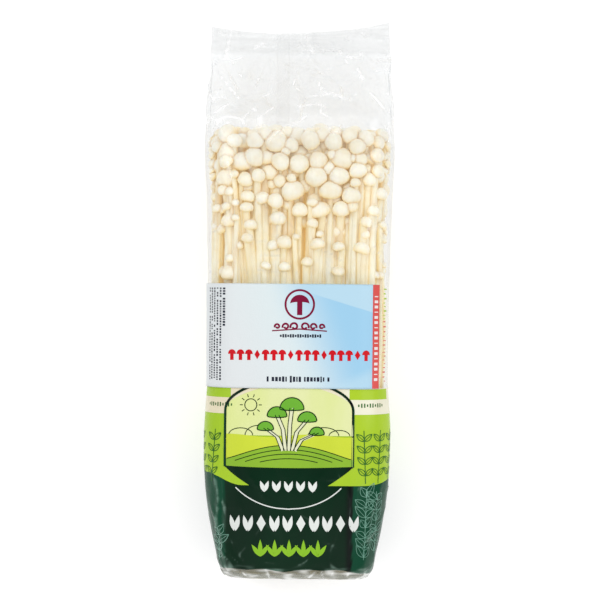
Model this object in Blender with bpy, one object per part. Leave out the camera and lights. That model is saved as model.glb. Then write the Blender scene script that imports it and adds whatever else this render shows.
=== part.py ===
"""Enoki mushroom bunch in its side-gusseted film bag, lying on its back.

Run with: blender --background --python part.py
Metres, +Z up. +Y runs from the mushrooms' foot to the bag's top seal, +X is the pack's right
as its front (+Z) is looked at, and the origin is the middle of the pack's underside.
"""

import math
import random
from typing import NamedTuple

import bmesh
import bpy
from mathutils import Vector

MM = 0.001

# Driving dimensions of the bag, in millimetres


class Station(NamedTuple):
    """The bag's cross-section at one place along its length."""

    y: float
    half_width: float
    half_depth: float
    corner: float
    lift: float
    gusset: float


BAG_STATIONS = (
    Station(-105.8, 28.6, 18.6, 11.0, 0.0, 0.0),
    Station(-96.0, 29.8, 19.6, 11.0, 0.0, 0.0),
    Station(-84.0, 32.2, 21.0, 12.0, 0.0, 0.0),
    Station(-68.0, 34.2, 22.2, 12.5, 0.0, 0.0),
    Station(-50.0, 34.8, 22.6, 12.5, 0.0, 0.0),
    Station(-28.0, 33.6, 22.2, 12.5, 0.0, 0.0),
    Station(4.0, 33.9, 22.0, 12.5, 0.0, 0.0),
    Station(36.0, 34.6, 22.2, 12.5, 0.0, 0.0),
    Station(58.0, 35.5, 22.0, 12.5, 0.0, 0.0),
    Station(66.0, 35.5, 20.8, 12.0, 0.6, 0.8),
    Station(74.0, 34.9, 16.6, 9.0, 2.8, 4.0),
    Station(82.0, 34.4, 10.4, 5.5, 6.8, 8.0),
    Station(89.0, 33.5, 4.6, 2.6, 11.0, 9.0),
    Station(94.8, 33.0, 0.8, 0.4, 14.4, 0.0),
    Station(105.8, 32.9, 0.7, 0.35, 13.7, 0.0),
)
FRONT_CROWN = 1.4
FULL_HALF_DEPTH = 22.0
MIN_CORNER = 0.3
CORNER_DEPTH_SHARE = 0.9
FILM_WALL = 0.6
CAVITY_TOP_Y = 89.5
SHOULDER_Y = 62.0

# The foot end's round edge, which ends just before the film would be level
FOOT_END_Y = -104.2
FOOT_ROUND = 8.6
FOOT_ROUND_REACH = 0.94
FOOT_ROUND_SIDE_SHARE = 0.22
FOOT_RING_SHARES = (0.0, 0.08, 0.22, 0.42, 0.7, 1.0)

# The top seal: its wavy edge dips left of the middle and rises to the right corner
SEAL_FOOT_Y = 94.8
SEAL_RINGS_Y = (98.0, 102.0)
SEAL_WAVE = 0.9
SEAL_WAVE_TURNS_PER_MM = 0.0255
SEAL_WAVE_START = 0.127
TOP_DIP_X = -6.6
TOP_DIP_Y = 100.9
TOP_CORNER_Y = 105.8
TOP_CORNER_X = 32.9

# The vent hole in the back
VENT_RADIUS = 2.0
VENT_X = 17.0
VENT_Y = 79.0
VENT_DEPTH = 6.0

# Steps of each ring round the bag: on the front and back flats, on a corner and on a flank
FLAT_STEPS = 6
CORNER_STEPS = 3
FLANK_STEPS = 4
BODY_RINGS = 12
SHOULDER_RINGS = 9

# The seal flap folded against the foot end
FLAP_HALF_WIDTH = 26.0
FLAP_LOW_Z = 8.0
FLAP_HIGH_Z = 19.0
FLAP_OUT_Y = -105.8
FLAP_SINK = 0.3

# The adhesive label
LABEL_LOW_Y = -32.3
LABEL_HIGH_Y = 5.9
LABEL_LEFT_S = -42.0
LABEL_RIGHT_S = 30.2
LABEL_GAP = 0.3
LABEL_THICKNESS = 0.5
LABEL_COLUMNS = 23
LABEL_ROWS = 6

# The bunch's foot and core: y places, each with how far in from the film it is
SEED = 21
BUNCH_CLEARANCE = 1.3
CORE_HIGH_Y = 46.0
CORE_INSET = 10.5
FOOT_AND_CORE = (
    (-102.6, 3.6),
    (-99.6, 1.6),
    (-84.0, 1.6),
    (-80.0, CORE_INSET),
    (-30.0, CORE_INSET),
    (CORE_HIGH_Y - 6.0, CORE_INSET),
    (CORE_HIGH_Y, CORE_INSET + 3.0),
)

# Stems: where they root, how they bow in towards the core, and their form
ROOT_Y = -90.0
TOP_ROOT_SINK = 4.0
TOP_ROOT_INSET = 4.4
STEM_RADIUS = 1.3
STEM_FLARE = 1.15
STEM_SIDES = 7
STEM_BEND_SHARE = 0.55
STEM_BEND_DEPTH = 0.8
STEM_FILM_GAP = 1.0
STEM_FOOT_SINK = 1.6
STEM_DEPTHS = (0.5, 4.0)

# Caps: the crowded ones near the top face the film, the low ones stand up
RIM_CAPS_HIGH_Y = 56.0
RIM_CAPS_LOW_Y = 6.0
RIM_CAP_COUNT = 36
RIM_CAP_RADII = (2.4, 4.2)
RIM_CROWDING = 0.6
RIM_LEAN_LOW = math.radians(14)
RIM_LEAN_MORE = math.radians(44)
SWAY = 0.2
CROWN_Y = 64.2
CROWN_FALL = 9.0
CROWN_JITTER = 3.0
CROWN_TILT = math.radians(30)
CROWN_CAP_COUNT = 27
CROWN_CAP_RADII = (3.0, 4.6)
CAP_OVERLAP = 0.86
CAP_PROFILE = ((1.0, 0.08), (0.76, 0.6))
CAP_HEIGHT = 0.88
NECK_BACK = 0.9
NECK_DROP = 1.6

# The caps that lie against the front film: x, y of the middle, and diameter
FRONT_CAPS = (
    (-24.0, 58.5, 5.6),
    (-16.5, 58.6, 6.6),
    (-8.9, 58.3, 8.6),
    (3.9, 58.9, 7.4),
    (12.4, 58.3, 7.2),
    (21.1, 56.6, 6.6),
    (-27.0, 50.8, 5.4),
    (-16.8, 52.5, 7.8),
    (-7.1, 50.8, 7.2),
    (-0.3, 50.2, 7.8),
    (6.8, 51.4, 7.2),
    (15.5, 52.2, 8.6),
    (28.9, 47.9, 5.6),
    (-20.1, 44.1, 6.0),
    (6.1, 45.5, 8.4),
    (14.4, 45.8, 7.8),
    (21.4, 47.8, 6.6),
    (-15.2, 45.5, 5.6),
    (-2.6, 40.0, 8.8),
    (11.5, 40.3, 8.2),
    (19.0, 38.5, 7.4),
    (-28.2, 40.3, 4.4),
    (-8.9, 36.2, 6.2),
    (0.2, 33.0, 6.6),
    (7.5, 33.0, 7.8),
    (15.4, 33.4, 6.8),
    (27.4, 33.0, 4.8),
    (-7.8, 29.8, 6.2),
    (-17.8, 27.2, 5.0),
    (24.5, 28.6, 5.2),
    (-19.0, 22.4, 4.6),
    (-5.3, 20.8, 6.0),
    (14.6, 19.6, 4.6),
    (23.0, 18.8, 6.2),
    (3.0, 13.8, 4.6),
    (-12.1, 12.4, 4.0),
)


# Shape of the bag as a function of place


def joint_slope(before, after):
    """Slope where two stretches of a curve meet, gentle enough that neither overshoots."""
    return 2 * before * after / (before + after) if before * after > 0 else 0.0


def bag_station(y):
    """The bag's section at y, on smooth curves through BAG_STATIONS."""
    rows = BAG_STATIONS
    last = len(rows) - 2
    y = min(max(y, rows[0].y), rows[-1].y)
    i = max(k for k in range(last + 1) if rows[k].y <= y)
    slopes = []
    for k in (max(i - 1, 0), i, min(i + 1, last)):
        low, high = rows[k], rows[k + 1]
        slopes.append([(q - p) / (high.y - low.y) for p, q in zip(low, high)])
    low, high = rows[i], rows[i + 1]
    span = high.y - low.y
    t = (y - low.y) / span
    values = [y]
    for p, q, before, here, after in list(zip(low, high, *slopes))[1:]:
        start, end = joint_slope(before, here) * span, joint_slope(here, after) * span
        values.append(
            p * (1 + 2 * t) * (1 - t) ** 2 + start * t * (1 - t) ** 2
            + q * t * t * (3 - 2 * t) - end * t * t * (1 - t)
        )
    return Station(*values)


def foot_rounding(y):
    """How far the film has turned in at the foot end, from 0 where the round edge starts."""
    past = FOOT_END_Y + FOOT_ROUND - y
    if past <= 0:
        return 0.0
    return FOOT_ROUND - math.sqrt(FOOT_ROUND**2 - (past * FOOT_ROUND_REACH) ** 2)


def section_sizes(y, inset):
    """Half width, half depth, corner, centre height and gusset of the section moved in by inset."""
    at = bag_station(y)
    turn = foot_rounding(y)
    half_width = at.half_width - FOOT_ROUND_SIDE_SHARE * turn - inset
    half_depth = at.half_depth - turn - inset
    corner = min(max(at.corner - inset, MIN_CORNER), CORNER_DEPTH_SHARE * half_depth)
    centre = at.lift + at.half_depth
    return half_width, half_depth, corner, centre, at.gusset


def perimeter(y, inset):
    """Length round the section."""
    a, b, r, _, _ = section_sizes(y, inset)
    return 4 * (a - r) + 4 * (b - r) + 2 * math.pi * r


def outline_point(a, b, r, s):
    """Point and outward direction at arc length s from the front's middle, positive towards +X."""
    side = 1.0 if s >= 0 else -1.0
    s = abs(s)
    front, quarter, flank = a - r, math.pi / 2 * r, 2 * (b - r)
    if s <= front:
        return side * s, b, 0.0, 1.0
    s -= front
    if s <= quarter:
        across, up = math.sin(s / r), math.cos(s / r)
        return side * (a - r + r * across), b - r + r * up, side * across, up
    s -= quarter
    if s <= flank:
        return side * a, b - r - s, side, 0.0
    s -= flank
    if s <= quarter:
        across, up = math.cos(s / r), -math.sin(s / r)
        return side * (a - r + r * across), r - b + r * up, side * across, up
    s -= quarter
    return side * (a - r - s), -b, 0.0, -1.0


def bag_point(y, inset, s):
    """Place and outward direction in the pack's frame, at arc length s and moved in by inset."""
    a, b, r, centre, gusset = section_sizes(y, inset)
    x, z, nx, nz = outline_point(a, b, r, s)
    fold = gusset * (max(0.0, 1 - abs(z) / b) + inset / (b + inset)) * min(1.0, abs(x) / a) ** 4
    crown = FRONT_CROWN * b / FULL_HALF_DEPTH * (1 - (x / a) ** 2) * max(0.0, z / b)
    return Vector((x - math.copysign(fold, x), y, centre + z + crown)), Vector((nx, 0.0, nz))


def top_edge(x):
    """Height of the bag's wavy top edge."""
    rise = (TOP_CORNER_Y - TOP_DIP_Y) / (TOP_CORNER_X - TOP_DIP_X) ** 2
    return TOP_DIP_Y + rise * (x - TOP_DIP_X) ** 2


def seal_place(point):
    """Bends a point of the top seal to the wavy edge and lets the seal ripple."""
    over = (point.y - SEAL_FOOT_Y) / (TOP_CORNER_Y - SEAL_FOOT_Y)
    if over <= 0:
        return point
    y = SEAL_FOOT_Y + over * (top_edge(point.x) - SEAL_FOOT_Y)
    turns = SEAL_WAVE_TURNS_PER_MM * point.x + SEAL_WAVE_START
    ripple = SEAL_WAVE * over * math.sin(math.tau * turns)
    return Vector((point.x, y, point.z + ripple))


# Mesh helpers


def new_object(name, bm, material):
    """Turns a bmesh in millimetres into an object in metres, with smooth sides and sharp edges kept."""
    bmesh.ops.scale(bm, vec=(MM, MM, MM), verts=bm.verts)
    bmesh.ops.recalc_face_normals(bm, faces=bm.faces)
    mesh = bpy.data.meshes.new(name)
    bm.to_mesh(mesh)
    bm.free()
    mesh.shade_smooth()
    mesh.set_sharp_from_angle(angle=math.radians(50))
    obj = bpy.data.objects.new(name, mesh)
    bpy.context.scene.collection.objects.link(obj)
    if material:
        mesh.materials.append(material)
    return obj


def bridge_rings(bm, rings):
    """Joins rings of vertices with quads and closes both ends."""
    for low, high in zip(rings, rings[1:]):
        count = len(low)
        for k in range(count):
            n = (k + 1) % count
            bm.faces.new((low[k], low[n], high[n], high[k]))
    bm.faces.new(list(reversed(rings[0])))
    return bm.faces.new(rings[-1])


def principled(name, colour, roughness, alpha=1.0):
    """A plain material."""
    material = bpy.data.materials.new(name)
    material.use_nodes = True
    shader = material.node_tree.nodes["Principled BSDF"]
    shader.inputs["Base Color"].default_value = (*colour, 1.0)
    shader.inputs["Roughness"].default_value = roughness
    shader.inputs["Metallic"].default_value = 0.0
    shader.inputs["Alpha"].default_value = alpha
    material.diffuse_color = (*colour, alpha)
    return material


def apply_boolean(obj, operation, other=None, collection=None, solver="EXACT"):
    """Applies one Boolean to obj and removes what it used."""
    modifier = obj.modifiers.new("cut", "BOOLEAN")
    modifier.operation = operation
    modifier.solver = solver
    if collection:
        modifier.operand_type = "COLLECTION"
        modifier.collection = collection
        used = list(collection.objects)
    else:
        modifier.object = other
        used = [other]
    bpy.context.view_layer.objects.active = obj
    bpy.ops.object.modifier_apply(modifier=modifier.name)
    for item in used:
        bpy.data.objects.remove(item)
    if collection:
        bpy.data.collections.remove(collection)


def keep_outer_shell(obj):
    """Fills the sealed hollows between joined pieces and drops scraps: only the largest shell stays."""
    bm = bmesh.new()
    bm.from_mesh(obj.data)
    left = set(bm.verts)
    shells = []
    while left:
        grown = [left.pop()]
        for vert in grown:
            for edge in vert.link_edges:
                other = edge.other_vert(vert)
                if other in left:
                    left.remove(other)
                    grown.append(other)
        shells.append(grown)
    shells.sort(key=len)
    for shell in shells[:-1]:
        bmesh.ops.delete(bm, geom=shell, context="VERTS")
    bm.to_mesh(obj.data)
    bm.free()


# The film bag


def ring_lengths(y, inset):
    """Arc lengths of the ring's points: even steps on each flat and each corner."""
    a, b, r, _, _ = section_sizes(y, inset)
    front, quarter, flank = a - r, math.pi / 2 * r, 2 * (b - r)
    half_flat = FLAT_STEPS // 2
    stretches = (
        (front, half_flat),
        (quarter, CORNER_STEPS),
        (flank, FLANK_STEPS),
        (quarter, CORNER_STEPS),
        (front, half_flat),
    )
    half = [0.0]
    for length, steps in stretches:
        start = half[-1]
        half += [start + length * k / steps for k in range(1, steps + 1)]
    return half + [-s for s in reversed(half[1:-1])]


def bag_loft(places, inset):
    """A closed tube of bag sections at these y places, moved in by inset, and its last ring and lid."""
    bm = bmesh.new()
    rings = []
    for y in places:
        points = [seal_place(bag_point(y, inset, s)[0]) for s in ring_lengths(y, inset)]
        rings.append([bm.verts.new(point) for point in points])
    lid = bridge_rings(bm, rings)
    return bm, rings[-1], lid


def close_wavy_end(bm, ring):
    """Closes the seal's edge with quads from each front point to the back point behind it."""
    half = len(ring) // 2
    flat = FLAT_STEPS // 2
    for k in range(flat):
        bm.faces.new((ring[k], ring[k + 1], ring[half - k - 1], ring[half - k]))
        bm.faces.new((ring[-k], ring[half + k], ring[half + k + 1], ring[-k - 1]))
    bm.faces.new(ring[flat:half - flat + 1])
    bm.faces.new(ring[half + flat:2 * half - flat + 1])


def spread(start, end, count):
    """Evenly spaced values from start to end, both included."""
    return [start + (end - start) * k / (count - 1) for k in range(count)]


def make_bag(material):
    """The film bag: outer shape with its folded seal flap, hollowed, and a vent hole."""
    foot = [FOOT_END_Y + FOOT_ROUND * share for share in FOOT_RING_SHARES]
    body = spread(FOOT_END_Y + FOOT_ROUND, SHOULDER_Y, BODY_RINGS)[1:]
    shoulder = spread(SHOULDER_Y, SEAL_FOOT_Y, SHOULDER_RINGS)[1:]
    bm, edge, lid = bag_loft(foot + body + shoulder + [*SEAL_RINGS_Y, TOP_CORNER_Y], 0.0)
    bm.faces.remove(lid)
    close_wavy_end(bm, edge)
    bag = new_object("film_bag", bm, material)

    apply_boolean(bag, "UNION", make_flap())

    inner_foot = [y + FILM_WALL for y in foot[:-1]] + foot[-1:]
    inner_top = [y for y in shoulder if y < CAVITY_TOP_Y] + [CAVITY_TOP_Y]
    cavity = new_object("cavity", bag_loft(inner_foot + body + inner_top, FILM_WALL)[0], None)
    apply_boolean(bag, "DIFFERENCE", cavity)
    apply_boolean(bag, "DIFFERENCE", make_vent())
    return bag


def make_flap():
    """The folded bottom seal, a flat slab sunk a little into the foot end."""
    depth = FOOT_END_Y + FLAP_SINK - FLAP_OUT_Y
    height = FLAP_HIGH_Z - FLAP_LOW_Z
    middle = (0.0, FLAP_OUT_Y + depth / 2, FLAP_LOW_Z + height / 2)
    bm = bmesh.new()
    bmesh.ops.create_cube(bm, size=1.0)
    bmesh.ops.scale(bm, vec=(2 * FLAP_HALF_WIDTH, depth, height), verts=bm.verts)
    bmesh.ops.translate(bm, vec=middle, verts=bm.verts)
    return new_object("flap", bm, None)


def make_vent():
    """The vent hole's cutter, upright through the back film."""
    back = bag_point(VENT_Y, 0.0, perimeter(VENT_Y, 0.0) / 2 - VENT_X)[0]
    bm = bmesh.new()
    bmesh.ops.create_cone(
        bm, cap_ends=True, segments=12, radius1=VENT_RADIUS, radius2=VENT_RADIUS, depth=VENT_DEPTH
    )
    bmesh.ops.translate(bm, vec=back, verts=bm.verts)
    return new_object("vent", bm, None)


# The label


def grid_border(grid):
    """The vertices round a grid's edge, in order."""
    right = [row[-1] for row in grid[1:-1]]
    left = [row[0] for row in grid[-2:0:-1]]
    return grid[0] + right + grid[-1][::-1] + left


def make_label(material):
    """A thin slab that follows the front film and goes round the left edge."""
    bm = bmesh.new()
    columns = spread(LABEL_LEFT_S, LABEL_RIGHT_S, LABEL_COLUMNS)
    rows = spread(LABEL_LOW_Y, LABEL_HIGH_Y, LABEL_ROWS)
    layers = []
    for offset in (LABEL_GAP, LABEL_GAP + LABEL_THICKNESS):
        layers.append([[bm.verts.new(bag_point(y, -offset, s)[0]) for s in columns] for y in rows])
    under, over = layers
    for j in range(len(rows) - 1):
        for i in range(len(columns) - 1):
            bm.faces.new((over[j][i], over[j][i + 1], over[j + 1][i + 1], over[j + 1][i]))
            bm.faces.new((under[j][i], under[j + 1][i], under[j + 1][i + 1], under[j][i + 1]))
    low, high = grid_border(under), grid_border(over)
    for k in range(len(low)):
        n = (k + 1) % len(low)
        bm.faces.new((low[k], low[n], high[n], high[k]))
    return new_object("front_label", bm, material)


# The mushroom bunch


class Cap(NamedTuple):
    """One mushroom's cap: the middle of its rim, its radius, the way it faces and its stem's path below."""

    centre: Vector
    radius: float
    axis: Vector
    stem: tuple


def neck(centre, axis, radius):
    """Where the stem bends up into the cap."""
    return centre - axis * radius * NECK_BACK - Vector((0, radius * NECK_DROP, 0))


def rim_mushroom(rng, y, s_share, radius):
    """A mushroom whose cap lies against the film, with its stem running down to the foot."""
    depth = rng.uniform(*STEM_DEPTHS)
    inset = BUNCH_CLEARANCE + radius
    centre, outward = bag_point(y, inset, s_share * perimeter(y, inset))
    side = Vector((outward.z, 0.0, -outward.x)) * rng.uniform(-SWAY, SWAY)
    lean = lean_at(y)
    axis = (Vector((0, math.cos(lean), 0)) + outward * math.sin(lean) + side).normalized()
    stem = []
    for share, bend in ((0.0, 1.0), (STEM_BEND_SHARE, STEM_BEND_DEPTH)):
        low = ROOT_Y + (y - ROOT_Y) * share
        at = BUNCH_CLEARANCE + STEM_RADIUS + STEM_FILM_GAP + depth * bend + STEM_FOOT_SINK * (1 - share)
        stem.append(bag_point(low, at, s_share * perimeter(low, at))[0])
    stem.append(neck(centre, axis, radius))
    return Cap(centre, radius, axis, tuple(stem))


def front_share(x, y, inset):
    """The share of the way round at which the front outline has this x."""
    a, _, r, _, _ = section_sizes(y, inset)
    flat = a - r
    s = min(abs(x), flat)
    if abs(x) > flat:
        s += r * math.asin(min((abs(x) - flat) / r, 1.0))
    return math.copysign(s, x) / perimeter(y, inset)


def lean_at(y):
    """How far caps face outward: the crowded upper ones face the film, the low ones stand up."""
    share = (y - RIM_CAPS_LOW_Y) / (RIM_CAPS_HIGH_Y - RIM_CAPS_LOW_Y)
    return RIM_LEAN_LOW + RIM_LEAN_MORE * min(max(share, 0.0), 1.0)


def front_mushrooms(rng):
    """The mushrooms that show through the front of the bag."""
    made = []
    for x, y, diameter in FRONT_CAPS:
        radius = diameter / 2
        share = front_share(x, y, BUNCH_CLEARANCE + radius)
        made.append(rim_mushroom(rng, y, share, radius))
    return made


def far_enough(centre, radius, others):
    """True if a cap here would hardly overlap those already placed."""
    return all((centre - cap.centre).length > CAP_OVERLAP * (radius + cap.radius) for cap in others)


def rim_mushrooms(rng, placed, count):
    """Mushrooms all round the sides and back, crowded above and sparse below."""
    made = []
    while len(made) < count:
        y = RIM_CAPS_LOW_Y + (RIM_CAPS_HIGH_Y - RIM_CAPS_LOW_Y) * rng.random() ** RIM_CROWDING
        cap = rim_mushroom(rng, y, rng.uniform(-0.5, 0.5), rng.uniform(*RIM_CAP_RADII))
        if far_enough(cap.centre, cap.radius, placed + made):
            made.append(cap)
    return made


def crown_mushrooms(rng, placed, count):
    """The crowded caps of the crown, on short stems from the core's top."""
    made = []
    while len(made) < count:
        share = rng.uniform(-0.5, 0.5)
        out = math.sqrt(rng.random())
        radius = rng.uniform(*CROWN_CAP_RADII)
        y = CROWN_Y - CROWN_FALL * out**3 - rng.uniform(0.0, CROWN_JITTER)
        inset = BUNCH_CLEARANCE + radius + STEM_FILM_GAP
        rim, outward = bag_point(y, inset, share * perimeter(y, inset))
        centre = Vector((0, y, section_sizes(y, 0.0)[3])).lerp(rim, out)
        sway = Vector((rng.uniform(-SWAY, SWAY), 1.0, rng.uniform(-SWAY, SWAY)))
        axis = (sway + outward * math.tan(CROWN_TILT * out)).normalized()
        if not far_enough(centre, radius, placed + made):
            continue
        low = CORE_HIGH_Y - TOP_ROOT_SINK
        inset = CORE_INSET + TOP_ROOT_INSET
        edge = bag_point(low, inset, share * perimeter(low, inset))[0]
        root = Vector((0, low, section_sizes(low, 0.0)[3])).lerp(edge, out)
        made.append(Cap(centre, radius, axis, (root, neck(centre, axis, radius))))
    return made


def add_mushroom(cap, collection):
    """One closed mushroom: rings along the stem, then out under the cap, over its rim and up to the tip."""
    bm = bmesh.new()
    path = list(cap.stem) + [cap.centre]
    rings = []
    across = Vector((1, 0, 0))
    for i, point in enumerate(path):
        before, after = path[max(i - 1, 0)], path[min(i + 1, len(path) - 1)]
        along = cap.axis if i == len(path) - 1 else (after - before).normalized()
        across = (across - along * across.dot(along)).normalized()
        rings.append((point, across, along.cross(across), STEM_RADIUS * (1.0 if i else STEM_FLARE)))
    for out, up in CAP_PROFILE:
        rings.append((cap.centre + cap.axis * cap.radius * up, across, rings[-1][2], cap.radius * out))
    loops = []
    for point, u, v, radius in rings:
        turns = [2 * math.pi * k / STEM_SIDES for k in range(STEM_SIDES)]
        loops.append([bm.verts.new(point + (u * math.cos(t) + v * math.sin(t)) * radius) for t in turns])
    lid = bridge_rings(bm, loops)
    tip = bmesh.ops.poke(bm, faces=[lid])["verts"][0]
    tip.co = cap.centre + cap.axis * cap.radius * CAP_HEIGHT
    obj = new_object("mushroom", bm, None)
    bpy.context.scene.collection.objects.unlink(obj)
    collection.objects.link(obj)


def foot_and_core():
    """The grown-together foot and the plain core above it, as one solid."""
    bm = bmesh.new()
    rings = []
    for y, inset in FOOT_AND_CORE:
        rings.append([bm.verts.new(bag_point(y, inset, s)[0]) for s in ring_lengths(y, inset)])
    bridge_rings(bm, rings)
    return bm


def make_bunch(material):
    """Foot and core in one loft, with every mushroom joined to it."""
    rng = random.Random(SEED)
    bunch = new_object("enoki_bunch", foot_and_core(), material)
    caps = front_mushrooms(rng)
    caps += rim_mushrooms(rng, caps, RIM_CAP_COUNT)
    caps += crown_mushrooms(rng, caps, CROWN_CAP_COUNT)
    group = bpy.data.collections.new("mushrooms")
    bpy.context.scene.collection.children.link(group)
    for cap in caps:
        add_mushroom(cap, group)
    apply_boolean(bunch, "UNION", collection=group, solver="MANIFOLD")
    keep_outer_shell(bunch)
    return bunch


def main():
    """Clears the scene and builds the three pieces."""
    for obj in list(bpy.data.objects):
        bpy.data.objects.remove(obj)
    make_bunch(principled("enoki_cream", (0.90, 0.84, 0.68), 0.45))
    make_bag(principled("clear_film", (0.86, 0.88, 0.88), 0.15, 0.35))
    make_label(principled("label_paper", (0.72, 0.84, 0.93), 0.35))


main()
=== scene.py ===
"""The finished look of an enoki mushroom bunch in its gusseted film bag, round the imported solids.

Sizes are in millimetres and turn to metres where a mesh is made. The pack lies on its back, with
+Y towards its top seal and +Z up through its front.
"""

import logging
import math
import random
from dataclasses import dataclass, field
from enum import Enum
from typing import Callable, Iterable, Sequence

import bpy
import numpy as np
from bpy.types import Material, Node, NodeSocket, NodeTree, Object
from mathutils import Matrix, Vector, noise

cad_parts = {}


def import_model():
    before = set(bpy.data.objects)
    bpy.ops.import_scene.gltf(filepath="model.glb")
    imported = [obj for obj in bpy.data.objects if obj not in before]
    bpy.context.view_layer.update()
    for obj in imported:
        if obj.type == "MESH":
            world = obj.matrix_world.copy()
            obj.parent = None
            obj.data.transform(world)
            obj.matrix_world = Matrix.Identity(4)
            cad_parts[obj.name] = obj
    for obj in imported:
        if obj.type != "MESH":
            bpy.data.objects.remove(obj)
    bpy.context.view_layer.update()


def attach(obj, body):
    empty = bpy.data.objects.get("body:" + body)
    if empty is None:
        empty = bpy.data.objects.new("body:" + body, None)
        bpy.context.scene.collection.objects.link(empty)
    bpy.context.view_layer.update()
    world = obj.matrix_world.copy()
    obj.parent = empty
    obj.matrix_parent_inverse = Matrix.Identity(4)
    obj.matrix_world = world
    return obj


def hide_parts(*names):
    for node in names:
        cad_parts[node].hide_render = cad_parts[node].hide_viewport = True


MM = 0.001
EVEN = (1.0, 1.0, 1.0)
BLACK = (0.0, 0.0, 0.0, 1.0)
WHITE = (1.0, 1.0, 1.0, 1.0)
BODY = "root"

log = logging.getLogger("enoki")


class Slot(str, Enum):
    """The record's material slots."""

    ENOKI = "enoki"
    FILM = "film"
    LABEL = "label"


# Small helpers


def srgb(red: float, green: float, blue: float) -> tuple[float, float, float, float]:
    """Linear colour of an 8-bit screen colour.

    Args:
        red: Red from 0 to 255.
        green: Green from 0 to 255.
        blue: Blue from 0 to 255.

    Returns:
        The linear colour with full alpha.
    """
    values = []
    for channel in (red, green, blue):
        share = channel / 255.0
        values.append(share / 12.92 if share <= 0.04045 else ((share + 0.055) / 1.055) ** 2.4)
    return (*values, 1.0)


def spread(start: float, end: float, step: float) -> np.ndarray:
    """Evenly spaced values from start to end, both included, at most step apart."""
    return np.linspace(start, end, max(2, int(math.ceil(abs(end - start) / step)) + 1))


def noise_at(
    x: np.ndarray | float, y: np.ndarray | float, across: float, along: float, layer: float
) -> np.ndarray:
    """Smooth noise over a sheet.

    Args:
        x: Places across the sheet, in mm, or one for them all.
        y: Places along the sheet, in mm, or one for them all.
        across: Size of a bump across, in mm.
        along: Size of a bump along, in mm.
        layer: Which independent layer of noise.

    Returns:
        Values of about -1 to 1.
    """
    places = zip(*np.broadcast_arrays(x, y))
    return np.array([noise.noise(Vector((a / across, b / along, layer))) for a, b in places])


@dataclass(frozen=True)
class Ripple:
    """Smooth noise of one height, with bumps of one size across and along a sheet, in mm."""

    height: float
    across: float
    along: float
    layer: float

    def at(self, x: np.ndarray | float, y: np.ndarray | float) -> np.ndarray:
        """Its heights at places across and along the sheet."""
        return self.height * noise_at(x, y, self.across, self.along, self.layer)


def rippled(ripples: Sequence[Ripple], x: np.ndarray | float, y: np.ndarray | float) -> np.ndarray:
    """The sum of several ripples at places across and along a sheet."""
    return sum(ripple.at(x, y) for ripple in ripples)


def ramp(values: np.ndarray, start: float, end: float) -> np.ndarray:
    """A smooth step from 0 at start to 1 at end, which may lie either way round."""
    share = np.clip((values - start) / (end - start), 0.0, 1.0)
    return share * share * (3 - 2 * share)


def make_piece(
    name: str,
    points: np.ndarray,
    faces: Sequence[Sequence[int]],
    materials: Sequence[Material],
    replaced: Iterable[str] = (),
    values: dict[str, np.ndarray] | None = None,
    face_materials: np.ndarray | None = None,
) -> Object:
    """Makes one smooth mesh piece that rides on the pack.

    Args:
        name: The piece's name.
        points: Its points in mm, one row each.
        faces: Each face's point numbers.
        materials: Its materials in order.
        replaced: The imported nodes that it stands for.
        values: Named numbers at each point, for its shader.
        face_materials: Each face's material number.

    Returns:
        The new object.
    """
    mesh = bpy.data.meshes.new(name)
    mesh.from_pydata((points * MM).tolist(), [], faces)
    for label, numbers in (values or {}).items():
        layer = mesh.attributes.new(label, "FLOAT", "POINT")
        layer.data.foreach_set("value", np.asarray(numbers, dtype=np.float32))
    for material in materials:
        mesh.materials.append(material)
    if face_materials is not None:
        mesh.polygons.foreach_set("material_index", np.asarray(face_materials, dtype=np.int32))
    mesh.shade_smooth()
    mesh.validate()
    piece = bpy.data.objects.new(name, mesh)
    bpy.context.scene.collection.objects.link(piece)
    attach(piece, BODY)
    replaced = list(replaced)
    if replaced:
        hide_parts(*replaced)
    log.info("%s: %d points, %d faces", name, len(points), len(faces))
    return piece


def grid_faces(rows: int, columns: int, closed: bool = False, first: int = 0) -> list[tuple[int, ...]]:
    """Quads of a grid of points stored row by row.

    Args:
        rows: How many rows.
        columns: How many points in a row.
        closed: Whether each row is a ring.
        first: Number of the grid's first point.

    Returns:
        The quads.
    """
    faces = []
    last = columns if closed else columns - 1
    for j in range(rows - 1):
        for i in range(last):
            n = (i + 1) % columns
            low, high = first + j * columns, first + (j + 1) * columns
            faces.append((low + i, low + n, high + n, high + i))
    return faces


def tube_faces(rings: int, sides: int, first: int = 0) -> list[tuple[int, ...]]:
    """Faces of a closed tube stored ring by ring.

    Args:
        rings: How many rings.
        sides: How many points in a ring.
        first: Number of the tube's first point.

    Returns:
        The quads and the two end faces.
    """
    faces = grid_faces(rings, sides, closed=True, first=first)
    faces.append(tuple(range(first + sides - 1, first - 1, -1)))
    faces.append(tuple(range(first + (rings - 1) * sides, first + rings * sides)))
    return faces


# The bag's form


@dataclass(frozen=True)
class Station:
    """The bag's cross-section at one place along its length."""

    y: float
    half_width: float
    half_depth: float
    corner: float
    lift: float
    gusset: float


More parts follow.
